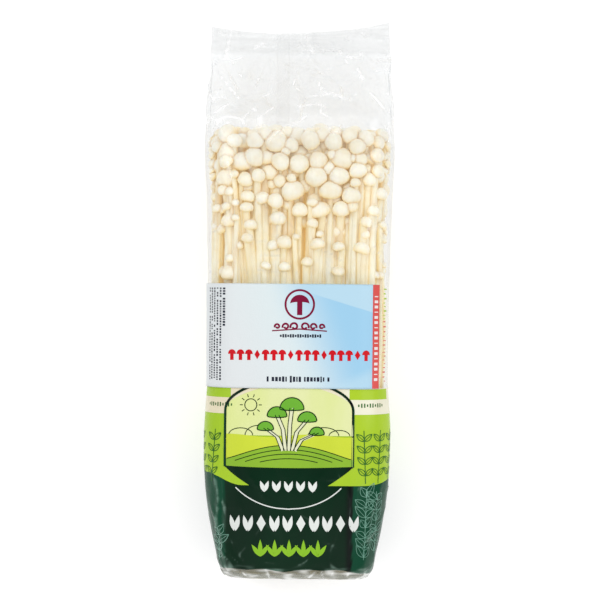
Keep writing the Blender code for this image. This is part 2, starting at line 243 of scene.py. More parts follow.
@dataclass
class BagForm:
    """The bag's smooth form: a rounded section that changes along its length."""

    stations: tuple[Station, ...] = (
        Station(-105.8, 28.6, 18.6, 11.0, 0.0, 0.0),
        Station(-96.0, 29.8, 19.6, 11.0, 0.0, 0.0),
        Station(-84.0, 32.2, 21.0, 12.0, 0.0, 0.0),
        Station(-68.0, 34.2, 22.2, 12.5, 0.0, 0.0),
        Station(-50.0, 34.8, 22.6, 12.5, 0.0, 0.0),
        Station(-28.0, 33.6, 22.2, 12.5, 0.0, 0.0),
        Station(4.0, 33.9, 22.0, 12.5, 0.0, 0.0),
        Station(36.0, 34.6, 22.2, 12.5, 0.0, 0.0),
        Station(58.0, 35.5, 22.0, 12.5, 0.0, 0.0),
        Station(66.0, 35.5, 20.8, 12.0, 0.6, 0.8),
        Station(74.0, 35.7, 16.6, 9.0, 2.8, 1.3),
        Station(82.0, 35.6, 10.4, 5.5, 6.8, 1.6),
        Station(89.0, 35.0, 4.6, 2.6, 11.0, 1.0),
        Station(94.8, 34.4, 0.8, 0.4, 14.4, 0.0),
        Station(107.2, 34.1, 0.7, 0.35, 13.7, 0.0),
    )
    front_crown: float = 1.4
    full_half_depth: float = 22.0
    min_corner: float = 0.3
    corner_depth_share: float = 0.9
    foot_end_y: float = -104.2
    foot_round: float = 8.6
    foot_round_reach: float = 0.94
    foot_round_side_share: float = 0.22
    seal_foot_y: float = 94.8
    seal_wave: float = 0.9
    seal_wave_turns_per_mm: float = 0.0255
    seal_wave_start: float = 0.127
    top_dip_x: float = -6.6
    top_dip_y: float = 102.6
    top_corner_y: float = 107.2
    top_corner_x: float = 34.1
    table_step: float = 0.1
    table: np.ndarray = field(init=False, repr=False)
    table_y: np.ndarray = field(init=False, repr=False)

    def __post_init__(self) -> None:
        """Works out the table of sections."""
        self.table_y = spread(self.stations[0].y, self.stations[-1].y, self.table_step)
        self.table = np.array([self._station(y) for y in self.table_y])

    def _station(self, y: float) -> list[float]:
        """One row of the table, on curves through the stations that never overshoot.

        Args:
            y: The row's place along the bag.

        Returns:
            Half width, half depth, corner radius, lift and gusset.
        """
        rows = self.stations
        last = len(rows) - 2
        i = max(k for k in range(last + 1) if rows[k].y <= y)
        fields = [(r.y, r.half_width, r.half_depth, r.corner, r.lift, r.gusset) for r in rows]
        slopes = []
        for k in (max(i - 1, 0), i, min(i + 1, last)):
            low, high = fields[k], fields[k + 1]
            slopes.append([(q - p) / (high[0] - low[0]) for p, q in zip(low, high)])
        low, high = fields[i], fields[i + 1]
        span = high[0] - low[0]
        t = (y - low[0]) / span
        values = []
        for p, q, before, here, after in list(zip(low, high, *slopes))[1:]:
            start = 2 * before * here / (before + here) * span if before * here > 0 else 0.0
            end = 2 * here * after / (here + after) * span if here * after > 0 else 0.0
            values.append(
                p * (1 + 2 * t) * (1 - t) ** 2 + start * t * (1 - t) ** 2
                + q * t * t * (3 - 2 * t) - end * t * t * (1 - t)
            )
        return values

    def section(self, y: np.ndarray, inset: np.ndarray | float = 0.0) -> tuple[np.ndarray, ...]:
        """Sizes of the section at each y.

        Args:
            y: Places along the bag.
            inset: How far in from the film.

        Returns:
            Half width, half depth, corner radius, centre height and gusset.
        """
        width, depth, corner, lift, gusset = (
            np.interp(y, self.table_y, column) for column in self.table.T
        )
        past = np.clip(self.foot_end_y + self.foot_round - y, 0.0, self.foot_round)
        turn = self.foot_round - np.sqrt(self.foot_round**2 - (past * self.foot_round_reach) ** 2)
        a = width - self.foot_round_side_share * turn - inset
        b = depth - turn - inset
        r = np.minimum(np.maximum(corner - inset, self.min_corner), self.corner_depth_share * b)
        return a, b, r, lift + depth, gusset

    def perimeter(self, y: np.ndarray | float, inset: float = 0.0) -> np.ndarray:
        """Length round the section."""
        a, b, r, _, _ = self.section(y, inset)
        return 4 * (a - r) + 4 * (b - r) + 2 * math.pi * r

    def place(
        self, s: np.ndarray, y: np.ndarray, inset: np.ndarray | float = 0.0
    ) -> tuple[np.ndarray, np.ndarray]:
        """Places on the bag, and the ways out of it.

        Args:
            s: Arc lengths from the front's middle, positive towards +X.
            y: Places along the bag.
            inset: How far in from the film; below 0 is outside it.

        Returns:
            Points and unit outward directions, one row each.
        """
        s, y = np.broadcast_arrays(np.asarray(s, dtype=float), np.asarray(y, dtype=float))
        a, b, r, centre, gusset = self.section(y, inset)
        side, s = np.where(s >= 0, 1.0, -1.0), np.abs(s)
        front, quarter, flank = a - r, math.pi / 2 * r, 2 * (b - r)
        first = np.clip((s - front) / r, 0.0, math.pi / 2)
        second = np.clip((s - front - quarter - flank) / r, 0.0, math.pi / 2)
        x = np.minimum(s, front) + r * np.sin(first) - r * (1 - np.cos(second))
        x -= np.maximum(s - front - 2 * quarter - flank, 0.0)
        z = b - r * (1 - np.cos(first)) - np.clip(s - front - quarter, 0.0, flank) - r * np.sin(second)
        deep = np.maximum(0.0, 1 - np.abs(z) / b) + inset / (b + inset)
        fold = gusset * deep * np.minimum(1.0, np.abs(x) / a) ** 4
        crown = self.front_crown * b / self.full_half_depth * (1 - (x / a) ** 2) * np.maximum(0.0, z / b)
        points = np.stack([side * (x - fold), y, centre + z + crown], axis=-1)
        turn = first + second
        outward = np.stack([side * np.sin(turn), np.zeros_like(turn), np.cos(turn)], axis=-1)
        return self._seal(points), outward

    def _seal(self, points: np.ndarray) -> np.ndarray:
        """Bends the points above the seal's foot to its wavy edge and ripple.

        Args:
            points: Points of the straight seal.

        Returns:
            The bent points.
        """
        x, y, z = points.T
        over = np.clip((y - self.seal_foot_y) / (self.top_corner_y - self.seal_foot_y), 0.0, None)
        y = np.where(over > 0, self.seal_foot_y + over * (self.top_edge(x) - self.seal_foot_y), y)
        turns = self.seal_wave_turns_per_mm * x + self.seal_wave_start
        return np.stack([x, y, z + self.seal_wave * over * np.sin(math.tau * turns)], axis=-1)

    def top_edge(self, x: np.ndarray) -> np.ndarray:
        """Where the bag's wavy top edge is at each x."""
        rise = (self.top_corner_y - self.top_dip_y) / (self.top_corner_x - self.top_dip_x) ** 2
        return self.top_dip_y + rise * (x - self.top_dip_x) ** 2

    def at(self, s: float, y: float, inset: float) -> tuple[Vector, Vector]:
        """One place and its way out, as vectors."""
        points, outward = self.place(np.array([s]), np.array([y]), inset)
        return Vector(points[0]), Vector(outward[0])

    def ring(self, y: float, steps: tuple[int, int, int], inset: float = 0.0) -> np.ndarray:
        """Arc lengths of a ring's points.

        Args:
            y: Where the ring is.
            steps: Steps on half a flat, on a corner and on a flank.
            inset: How far in from the film.

        Returns:
            The lengths from the front's middle round by +X to the back and on to the start.
        """
        a, b, r, _, _ = self.section(y, inset)
        front, quarter, flank = a - r, math.pi / 2 * r, 2 * (b - r)
        flat, corner, side = steps
        half = [0.0]
        for length, count in (
            (front, flat), (quarter, corner), (flank, side), (quarter, corner), (front, flat)
        ):
            start = half[-1]
            half += [start + length * k / count for k in range(1, count + 1)]
        return np.array(half + [-s for s in reversed(half[1:-1])])


# Shader building


class Graph:
    """A material's or a group's nodes, with short calls to add and join them."""

    def __init__(self, tree: NodeTree) -> None:
        """Starts from an empty tree."""
        self.tree = tree
        tree.nodes.clear()

    def add(self, kind: str, settings: dict | None = None, **inputs: object) -> Node:
        """Adds a node.

        Args:
            kind: The node's type name.
            settings: Its properties.
            **inputs: Its inputs by name, with underscores for spaces, as a value or a socket.

        Returns:
            The node.
        """
        node = self.tree.nodes.new(kind)
        for key, value in (settings or {}).items():
            setattr(node, key, value)
        for key, value in inputs.items():
            self.feed(node.inputs[key.replace("_", " ")], value)
        return node

    def feed(self, socket: NodeSocket, value: object) -> None:
        """Sets a socket to a value, or joins another socket to it.

        Args:
            socket: The input socket.
            value: A plain value or an output socket.
        """
        if isinstance(value, NodeSocket):
            self.tree.links.new(value, socket)
        else:
            socket.default_value = value

    def math(self, operation: str, *values: object, clamp: bool = False) -> NodeSocket:
        """Adds a math node.

        Args:
            operation: What it works out.
            *values: One to three values or sockets.
            clamp: Whether the result stays from 0 to 1.

        Returns:
            The result.
        """
        node = self.add("ShaderNodeMath", {"operation": operation, "use_clamp": clamp})
        for socket, value in zip(node.inputs, values):
            self.feed(socket, value)
        return node.outputs[0]

    def plus(self, first: object, second: object, clamp: bool = False) -> NodeSocket:
        """The sum of two values or sockets."""
        return self.math("ADD", first, second, clamp=clamp)

    def minus(self, first: object, second: object, clamp: bool = False) -> NodeSocket:
        """The first value or socket less the second."""
        return self.math("SUBTRACT", first, second, clamp=clamp)

    def times(self, first: object, second: object, clamp: bool = False) -> NodeSocket:
        """The product of two values or sockets."""
        return self.math("MULTIPLY", first, second, clamp=clamp)

    def mix(self, share: object, first: object, second: object) -> NodeSocket:
        """Blends two colours.

        Args:
            share: How much of the second, from 0 to 1.
            first: A colour or socket.
            second: A colour or socket.

        Returns:
            The blend.
        """
        node = self.add("ShaderNodeMix", {"data_type": "RGBA"})
        for number, value in ((0, share), (6, first), (7, second)):
            self.feed(node.inputs[number], value)
        return node.outputs[2]

    def value_at(self, name: str) -> NodeSocket:
        """A number stored at the mesh's points."""
        return self.add("ShaderNodeAttribute", {"attribute_name": name}).outputs["Fac"]

    def step(self, value: object, start: float, end: float) -> NodeSocket:
        """A smooth step.

        Args:
            value: A value or socket.
            start: Where the step is 0.
            end: Where it is 1, above or below the start.

        Returns:
            The step from 0 to 1.
        """
        node = self.add("ShaderNodeMapRange", {"interpolation_type": "SMOOTHSTEP"}, Value=value)
        node.inputs["From Min"].default_value = start
        node.inputs["From Max"].default_value = end
        return node.outputs[0]

    def _texture(
        self, kind: str, settings: dict, scale: float, stretch: tuple, **inputs: object
    ) -> Node:
        """Adds a texture of the object's own space.

        Args:
            kind: The texture node's type name.
            settings: Its properties.
            scale: Bumps in a metre.
            stretch: Scale along each axis.
            **inputs: Its other inputs.

        Returns:
            The texture node.
        """
        place = self.add("ShaderNodeTexCoord").outputs["Object"]
        mapping = self.add("ShaderNodeMapping", Vector=place, Scale=stretch)
        return self.add(kind, settings, Vector=mapping.outputs[0], Scale=scale, **inputs)

    def noise(self, scale: float, detail: float = 2.0, stretch: tuple = EVEN) -> NodeSocket:
        """Noise from 0 to 1, scale bumps in a metre, of detail octaves."""
        return self._texture("ShaderNodeTexNoise", {}, scale, stretch, Detail=detail).outputs[0]

    def facet(self, scale: float, stretch: tuple = EVEN) -> NodeSocket:
        """Distance to the nearest edge of straight-sided cells, scale of them in a metre."""
        settings = {"feature": "DISTANCE_TO_EDGE"}
        return self._texture("ShaderNodeTexVoronoi", settings, scale, stretch).outputs["Distance"]

    def bump(self, height: NodeSocket, depth: float) -> NodeSocket:
        """A normal from a height whose unit stands for depth metres."""
        return self.add("ShaderNodeBump", Height=height, Distance=depth, Strength=1.0).outputs[0]

    def group(self, tree: NodeTree, **inputs: object) -> Node:
        """Adds a node group with its inputs."""
        return self.add("ShaderNodeGroup", {"node_tree": tree}, **inputs)


def new_group(
    name: str, inputs: dict[str, tuple[str, object]], outputs: dict[str, str]
) -> tuple[NodeTree, Graph, Node, Node]:
    """Starts a shader node group.

    Args:
        name: The group's name.
        inputs: Each input's socket type and first value.
        outputs: Each output's socket type.

    Returns:
        The tree, its graph, its input node and its output node.
    """
    tree = bpy.data.node_groups.new(name, "ShaderNodeTree")
    graph = Graph(tree)
    for label, (kind, value) in inputs.items():
        socket = tree.interface.new_socket(name=label, in_out="INPUT", socket_type=kind)
        socket.default_value = value
    for label, kind in outputs.items():
        tree.interface.new_socket(name=label, in_out="OUTPUT", socket_type=kind)
    return tree, graph, graph.add("NodeGroupInput"), graph.add("NodeGroupOutput")


def new_material(name: str) -> tuple[Material, Graph]:
    """Starts a material.

    Args:
        name: The material's name.

    Returns:
        The material and its empty graph.
    """
    material = bpy.data.materials.new(name)
    material.use_nodes = True
    return material, Graph(material.node_tree)


def finish_surface(graph: Graph, shader: NodeSocket) -> None:
    """Joins a shader to the material's output."""
    graph.feed(graph.add("ShaderNodeOutputMaterial").inputs["Surface"], shader)


# Finishes


@dataclass(frozen=True)
class FleshFinish:
    """Moist mushroom flesh: ivory caps, creamier stems, a painted golden shade and painted glow where it
    lies deep in the bunch, and painted darker shade where caps touch.
    """

    cap: tuple = srgb(247, 244, 231)
    stem: tuple = srgb(242, 237, 215)
    # Painted golden shade where flesh lies deep in the bunch, faces inward or sits under a cap.
    deep: tuple = srgb(224, 194, 118)
    # Painted darker shade where caps touch.
    painted_contact_shade: tuple = srgb(206, 160, 94)
    grain_scale: float = 900.0
    grain_stretch: tuple = (1.0, 0.12, 1.0)
    grain_depth: float = 0.00012
    grain_share: float = 0.22
    blotch_scale: float = 260.0
    blotch_from: float = 0.42
    blotch_share: float = 0.7
    tint_share: float = 0.1
    painted_contact_shade_share: float = 0.48
    roughness: float = 0.42
    subsurface: float = 0.15
    # Strength of a painted glow in the deep colour, by the Deep value.
    glow: float = 0.42

    def tone_group(self) -> NodeTree:
        """The shared effect: flesh colour with painted shade and painted glow, and grain, from cap, depth,
        tint and touch values.

        Returns:
            The group.
        """
        values = {"Cap": 0.0, "Deep": 0.0, "Tint": 0.5, "Touch": 0.0}
        colours = {"Cap": self.cap, "Stem": self.stem, "Deep": self.deep, "Crevice": self.painted_contact_shade}
        inputs = {name: ("NodeSocketFloat", value) for name, value in values.items()}
        inputs |= {f"{name} Color": ("NodeSocketColor", colour) for name, colour in colours.items()}
        tree, graph, into, out = new_group(
            "flesh_tone",
            inputs,
            {"Color": "NodeSocketColor", "Painted Glow": "NodeSocketColor", "Height": "NodeSocketFloat"},
        )
        given = into.outputs
        fibre = graph.noise(self.grain_scale, 3.0, self.grain_stretch)
        blotch = graph.noise(self.blotch_scale)
        base = graph.mix(given["Cap"], given["Stem Color"], given["Cap Color"])
        # Random warm blotches and each mushroom's tint are the flesh's own tone.
        warm = graph.times(graph.minus(blotch, self.blotch_from), self.blotch_share, clamp=True)
        warm = graph.plus(warm, graph.times(given["Tint"], self.tint_share))
        # The Deep value is painted shade; the blotches and grain add the flesh's own tone to it.
        deep = graph.plus(given["Deep"], warm, clamp=True)
        streak = graph.times(graph.minus(fibre, 0.5), self.grain_share)
        deep = graph.plus(deep, streak, clamp=True)
        colour = graph.mix(deep, base, given["Deep Color"])
        # Painted darker shade where caps touch, by the touch value.
        touch = graph.times(graph.math("POWER", given["Touch"], 2.0), self.painted_contact_shade_share)
        graph.feed(out.inputs["Color"], graph.mix(touch, colour, given["Crevice Color"]))
        # Painted glow in the deep colour, as strong as the Deep value.
        graph.feed(out.inputs["Painted Glow"], graph.mix(given["Deep"], BLACK, given["Deep Color"]))
        graph.feed(out.inputs["Height"], fibre)
        return tree

    def build(self) -> Material:
        """Makes the material of all mushrooms.

        Returns:
            The material.
        """
        material, graph = new_material("enoki_flesh")
        values = {name.title(): graph.value_at(name) for name in ("cap", "deep", "tint", "touch")}
        tone = graph.group(self.tone_group(), **values)
        shader = graph.add(
            "ShaderNodeBsdfPrincipled",
            Base_Color=tone.outputs["Color"],
            Roughness=self.roughness,
            Subsurface_Weight=self.subsurface,
            Subsurface_Radius=(1.0, 0.78, 0.42),
            Subsurface_Scale=0.0026,
            # Painted glow, by the Deep value.
            Emission_Color=tone.outputs["Painted Glow"],
            Emission_Strength=self.glow,
            Normal=graph.bump(tone.outputs["Height"], self.grain_depth),
        )
        finish_surface(graph, shader.outputs[0])
        return material


@dataclass(frozen=True)
class FilmRipple:
    """The fine wrinkles of thin film, shared by the clear, gathered and printed film."""

    facets: tuple[tuple[float, tuple[float, float, float], float], ...] = (
        (48.0, (1.0, 0.6, 1.0), 2.1),
        (120.0, (1.0, 0.7, 1.0), 0.8),
    )
    soft_scale: float = 130.0
    soft_stretch: tuple = (1.0, 0.45, 1.0)
    soft_height: float = 0.5
    streak_scale: float = 330.0
    streak_stretch: tuple = (0.1, 1.0, 1.0)
    streak_height: float = 0.9
    line_width: float = 0.035
    line_from: float = 0.48
    line_to: float = 0.62

    def build(self) -> NodeTree:
        """Makes the group: a height in mm and a mask of crease lines for painted white glints, by how
        crumpled and sealed it is.

        Returns:
            The group.
        """
        tree, graph, into, out = new_group(
            "film_ripple",
            {"Crumple": ("NodeSocketFloat", 0.0), "Seal": ("NodeSocketFloat", 0.0)},
            {"Height": "NodeSocketFloat", "Line": "NodeSocketFloat"},
        )
        crumple, seal = into.outputs["Crumple"], into.outputs["Seal"]
        gaps, folds = [], None
        for scale, stretch, height in self.facets:
            gaps.append(graph.facet(scale, stretch))
            fold = graph.times(gaps[-1], height)
            folds = fold if folds is None else graph.plus(folds, fold)
        folds = graph.times(folds, crumple)
        streak = graph.noise(self.streak_scale, 1.0, self.streak_stretch)
        streak = graph.times(streak, self.streak_height)
        soft = graph.noise(self.soft_scale, 1.0, self.soft_stretch)
        soft = graph.plus(graph.times(soft, self.soft_height), graph.times(streak, seal))
        graph.feed(out.inputs["Height"], graph.plus(folds, soft))
        # Painted white glint lines along the cell edges, in patches.
        line = graph.step(gaps[0], self.line_width, 0.0)
        patches = graph.step(graph.noise(self.soft_scale, 1.0), self.line_from, self.line_to)
        line = graph.times(line, patches)
        graph.feed(out.inputs["Line"], graph.times(line, crumple))
        return tree


@dataclass(frozen=True)
class FilmFinish:
    """Thin film: nearly invisible face on, mirror-bright where it catches light, milk-white with painted
    white glints in its creases.
    """

    name: str = "clear_film"
    colour: tuple = (0.68, 0.69, 0.70, 1.0)
    # White of the milk and of the painted glints on creases.
    crease_glint_colour: tuple = (0.95, 0.952, 0.955, 1.0)
    pass_through: tuple = (0.950, 0.956, 0.960, 1.0)
    seal_through: tuple = (0.905, 0.91, 0.912, 1.0)
    base_see: float = 0.06
    rim_see: float = 0.24
    milk_and_glint_see: float = 0.45
    crease_glint_see: float = 0.32
    rim_blend: float = 0.28
    rim_power: float = 2.2
    metallic: float = 0.5
    roughness: float = 0.27
    depth: float = 0.001

    def build(self, ripple: NodeTree) -> Material:
        """The film's material.

        Args:
            ripple: The wrinkles' group.

        Returns:
            The material.
        """
        material, graph = new_material(self.name)
        wrinkle = graph.group(ripple, Crumple=graph.value_at("crumple"), Seal=graph.value_at("seal"))
        line, milk_and_glint = wrinkle.outputs["Line"], graph.value_at("milk_and_glint")
        # Creased film and crease lines turn white and less mirror-like: milk and painted white glints.
        milk_and_glint_mask = graph.plus(line, graph.step(milk_and_glint, 0.1, 0.8), clamp=True)
        film = graph.add(
            "ShaderNodeBsdfPrincipled",
            Base_Color=graph.mix(milk_and_glint_mask, self.colour, self.crease_glint_colour),
            Metallic=graph.times(graph.minus(1.0, milk_and_glint_mask), self.metallic),
            Roughness=self.roughness,
            Normal=graph.bump(wrinkle.outputs["Height"], self.depth),
        )
        through = graph.mix(graph.value_at("seal"), self.pass_through, self.seal_through)
        clear = graph.add("ShaderNodeBsdfTransparent", Color=through)
        rim = graph.add("ShaderNodeLayerWeight", Blend=self.rim_blend).outputs["Facing"]
        rim = graph.times(graph.math("POWER", rim, self.rim_power), self.rim_see)
        share = graph.plus(rim, graph.times(milk_and_glint, self.milk_and_glint_see))
        share = graph.plus(share, self.base_see)
        share = graph.plus(share, graph.times(line, self.crease_glint_see), clamp=True)
        mixed = graph.add("ShaderNodeMixShader", Fac=share)
        graph.feed(mixed.inputs[1], clear.outputs[0])
        graph.feed(mixed.inputs[2], film.outputs[0])
        finish_surface(graph, mixed.outputs[0])
        return material


@dataclass(frozen=True)
class InkFinish:
    """Ink printed on film or paper, a little uneven, with a pale backing, a gloss and a painted paler sheen
    in its creases, and painted lighter sides and fold shade where given.
    """

    name: str
    colour: tuple
    second: tuple
    # Painted lighter tone on the sides that turn to the light, and painted dark shade along a fold.
    side: tuple | None = None
    fold: tuple | None = None
    roughness: float = 0.26
    ior: float = 1.2
    gloss: float = 0.5
    gloss_roughness: float = 0.14
    depth: float = 0.0008
    # Painted paler sheen in the creases, and its colour.
    crease_sheen: float = 0.34
    crease_sheen_colour: tuple = srgb(150, 184, 168)
    backing: tuple = srgb(236, 238, 216)
    mottle_scale: float = 60.0

    def build(self, ripple: NodeTree) -> Material:
        """The ink's material.

        Args:
            ripple: The film wrinkles' group.

        Returns:
            The material.
        """
        material, graph = new_material(self.name)
        mottle = graph.noise(self.mottle_scale, 3.0, (1.0, 0.4, 1.0))
        wrinkle = graph.group(ripple, Crumple=graph.value_at("crumple"), Seal=graph.value_at("seal"))
        inner = graph.add("ShaderNodeNewGeometry").outputs["Backfacing"]
        face = graph.mix(graph.step(mottle, 0.3, 0.7), self.colour, self.second)
        shader = graph.add(
            "ShaderNodeBsdfPrincipled",
            Roughness=self.roughness,
            IOR=self.ior,
            Coat_Roughness=self.gloss_roughness,
            Normal=graph.bump(wrinkle.outputs["Height"], self.depth),
        )
        # Painted lighter sides and painted fold shade, where given.
        for mask, tone in (("side", self.side), ("fold", self.fold)):
            if tone:
                face = graph.mix(graph.value_at(mask), face, tone)
        if self.gloss:
            # Painted paler sheen where the film creases, with a gloss coat there too.
            milk_and_glint = graph.plus(graph.value_at("milk_and_glint"), wrinkle.outputs["Line"])
            crease_sheen = graph.times(graph.step(milk_and_glint, 0.14, 0.7), self.crease_sheen)
            face = graph.mix(crease_sheen, face, self.crease_sheen_colour)
            graph.feed(shader.inputs["Coat Weight"], graph.times(milk_and_glint, self.gloss, clamp=True))
        graph.feed(shader.inputs["Base Color"], graph.mix(inner, face, self.backing))
        finish_surface(graph, shader.outputs[0])
        return material


@dataclass(frozen=True)
class LabelFinish:
    """Coated label paper, pale grey on the left and sky blue on the right with faint slanting facets."""

    left: tuple = srgb(206, 210, 212)
    middle: tuple = srgb(203, 214, 216)
    right: tuple = srgb(145, 189, 216)
    facet: tuple = srgb(176, 204, 218)
    slant: float = 0.35
    middle_span: tuple[float, float] = (-34.0, -4.0)
    right_span: tuple[float, float] = (-12.0, 15.0)
    facet_span: tuple[float, float] = (-2.0, 10.0)
    facets: tuple[tuple[float, float, float, float], ...] = (
        (0.30, 3.6, 4.1, 0.75),
        (-0.42, -34.5, -39.5, 0.55),
        (1.6, -16.0, -46.0, 0.3),
    )
    grain_scale: float = 1500.0
    grain_depth: float = 0.00004

    def build(self) -> Material:
        """Makes the label's material, whose facets each have a slant, a start, an end and a share.

        Returns:
            The material.
        """
        material, graph = new_material("label_paper")
        across, along = graph.value_at("across"), graph.value_at("along")
        blue = graph.plus(across, graph.times(along, self.slant))
        colour = graph.mix(graph.step(blue, *self.middle_span), self.left, self.middle)
        colour = graph.mix(graph.step(blue, *self.right_span), colour, self.right)
        for slant, start, end, share in self.facets:
            line = graph.plus(along, graph.times(across, slant))
            mask = graph.times(graph.step(line, start, end), share)
            mask = graph.times(mask, graph.step(across, *self.facet_span))
            colour = graph.mix(mask, colour, self.facet)
        fleck = graph.noise(self.grain_scale)
        shader = graph.add(
            "ShaderNodeBsdfPrincipled",
            Base_Color=colour,
            Roughness=0.42,
            Specular_IOR_Level=0.25,
            Normal=graph.bump(fleck, self.grain_depth),
        )
        finish_surface(graph, shader.outputs[0])
        return material


@dataclass(frozen=True)
class FloorFinish:
    """A plain pale studio floor, faintly lit from below so that shadows stay soft."""

    colour: tuple = (0.55, 0.55, 0.55, 1.0)
    glow: float = 0.5

    def build(self) -> Material:
        """Makes the floor's material.

        Returns:
            The material.
        """
        material, graph = new_material("studio_floor")
        shader = graph.add(
            "ShaderNodeBsdfPrincipled",
            Base_Color=self.colour,
            Roughness=0.8,
            Specular_IOR_Level=0.0,
            Emission_Color=WHITE,
            Emission_Strength=self.glow,
        )
        finish_surface(graph, shader.outputs[0])
        return material


# The mushrooms


@dataclass(frozen=True)
class Mushroom:
    """One mushroom: its cap's middle, radius and facing, its stem's path, its depth and the way out, which
    steer its painted shade.
    """

    centre: Vector
    radius: float
    axis: Vector
    stem: tuple[Vector, ...]
    depth: float
    outward: Vector


@dataclass(frozen=True)
class FillLayer:
    """A layer of extra mushrooms: how many, how deep caps and stems lie, how crowded, where and how big."""

    count: int
    extra: float
    spread: float
    stem_extra: float
    overlap: float
    low_y: float
    high_y: float
    radii: tuple[float, float]
    shares: tuple[float, float] = (-0.5, 0.5)


@dataclass(frozen=True)
class FleshShading:
    """How far flesh takes the deep colour as painted shade: on its inner sides, under caps, and by how deep
    it stands.
    """

    # Painted shade on the stems' sides that face into the bunch.
    stem_from: float = 0.7
    stem_share: float = 0.5
    # Painted shade on the caps' sides that face into the bunch, their way out tipped up their axis.
    cap_from: float = 0.45
    cap_share: float = 0.42
    upward: float = 0.6
    # Painted shade under the caps and in a band round their rims.
    under_cap_shade: float = 0.55
    rim: float = 0.3
    rim_fade: float = 2.5
    # Painted shade by how deep a mushroom stands, less on caps.
    by_depth: float = 0.075
    most_by_depth: float = 0.7
    cap_relief: float = 0.6
    most: float = 0.55
    # How near to another cap, in mm, the painted contact shade starts.
    contact: float = 0.7


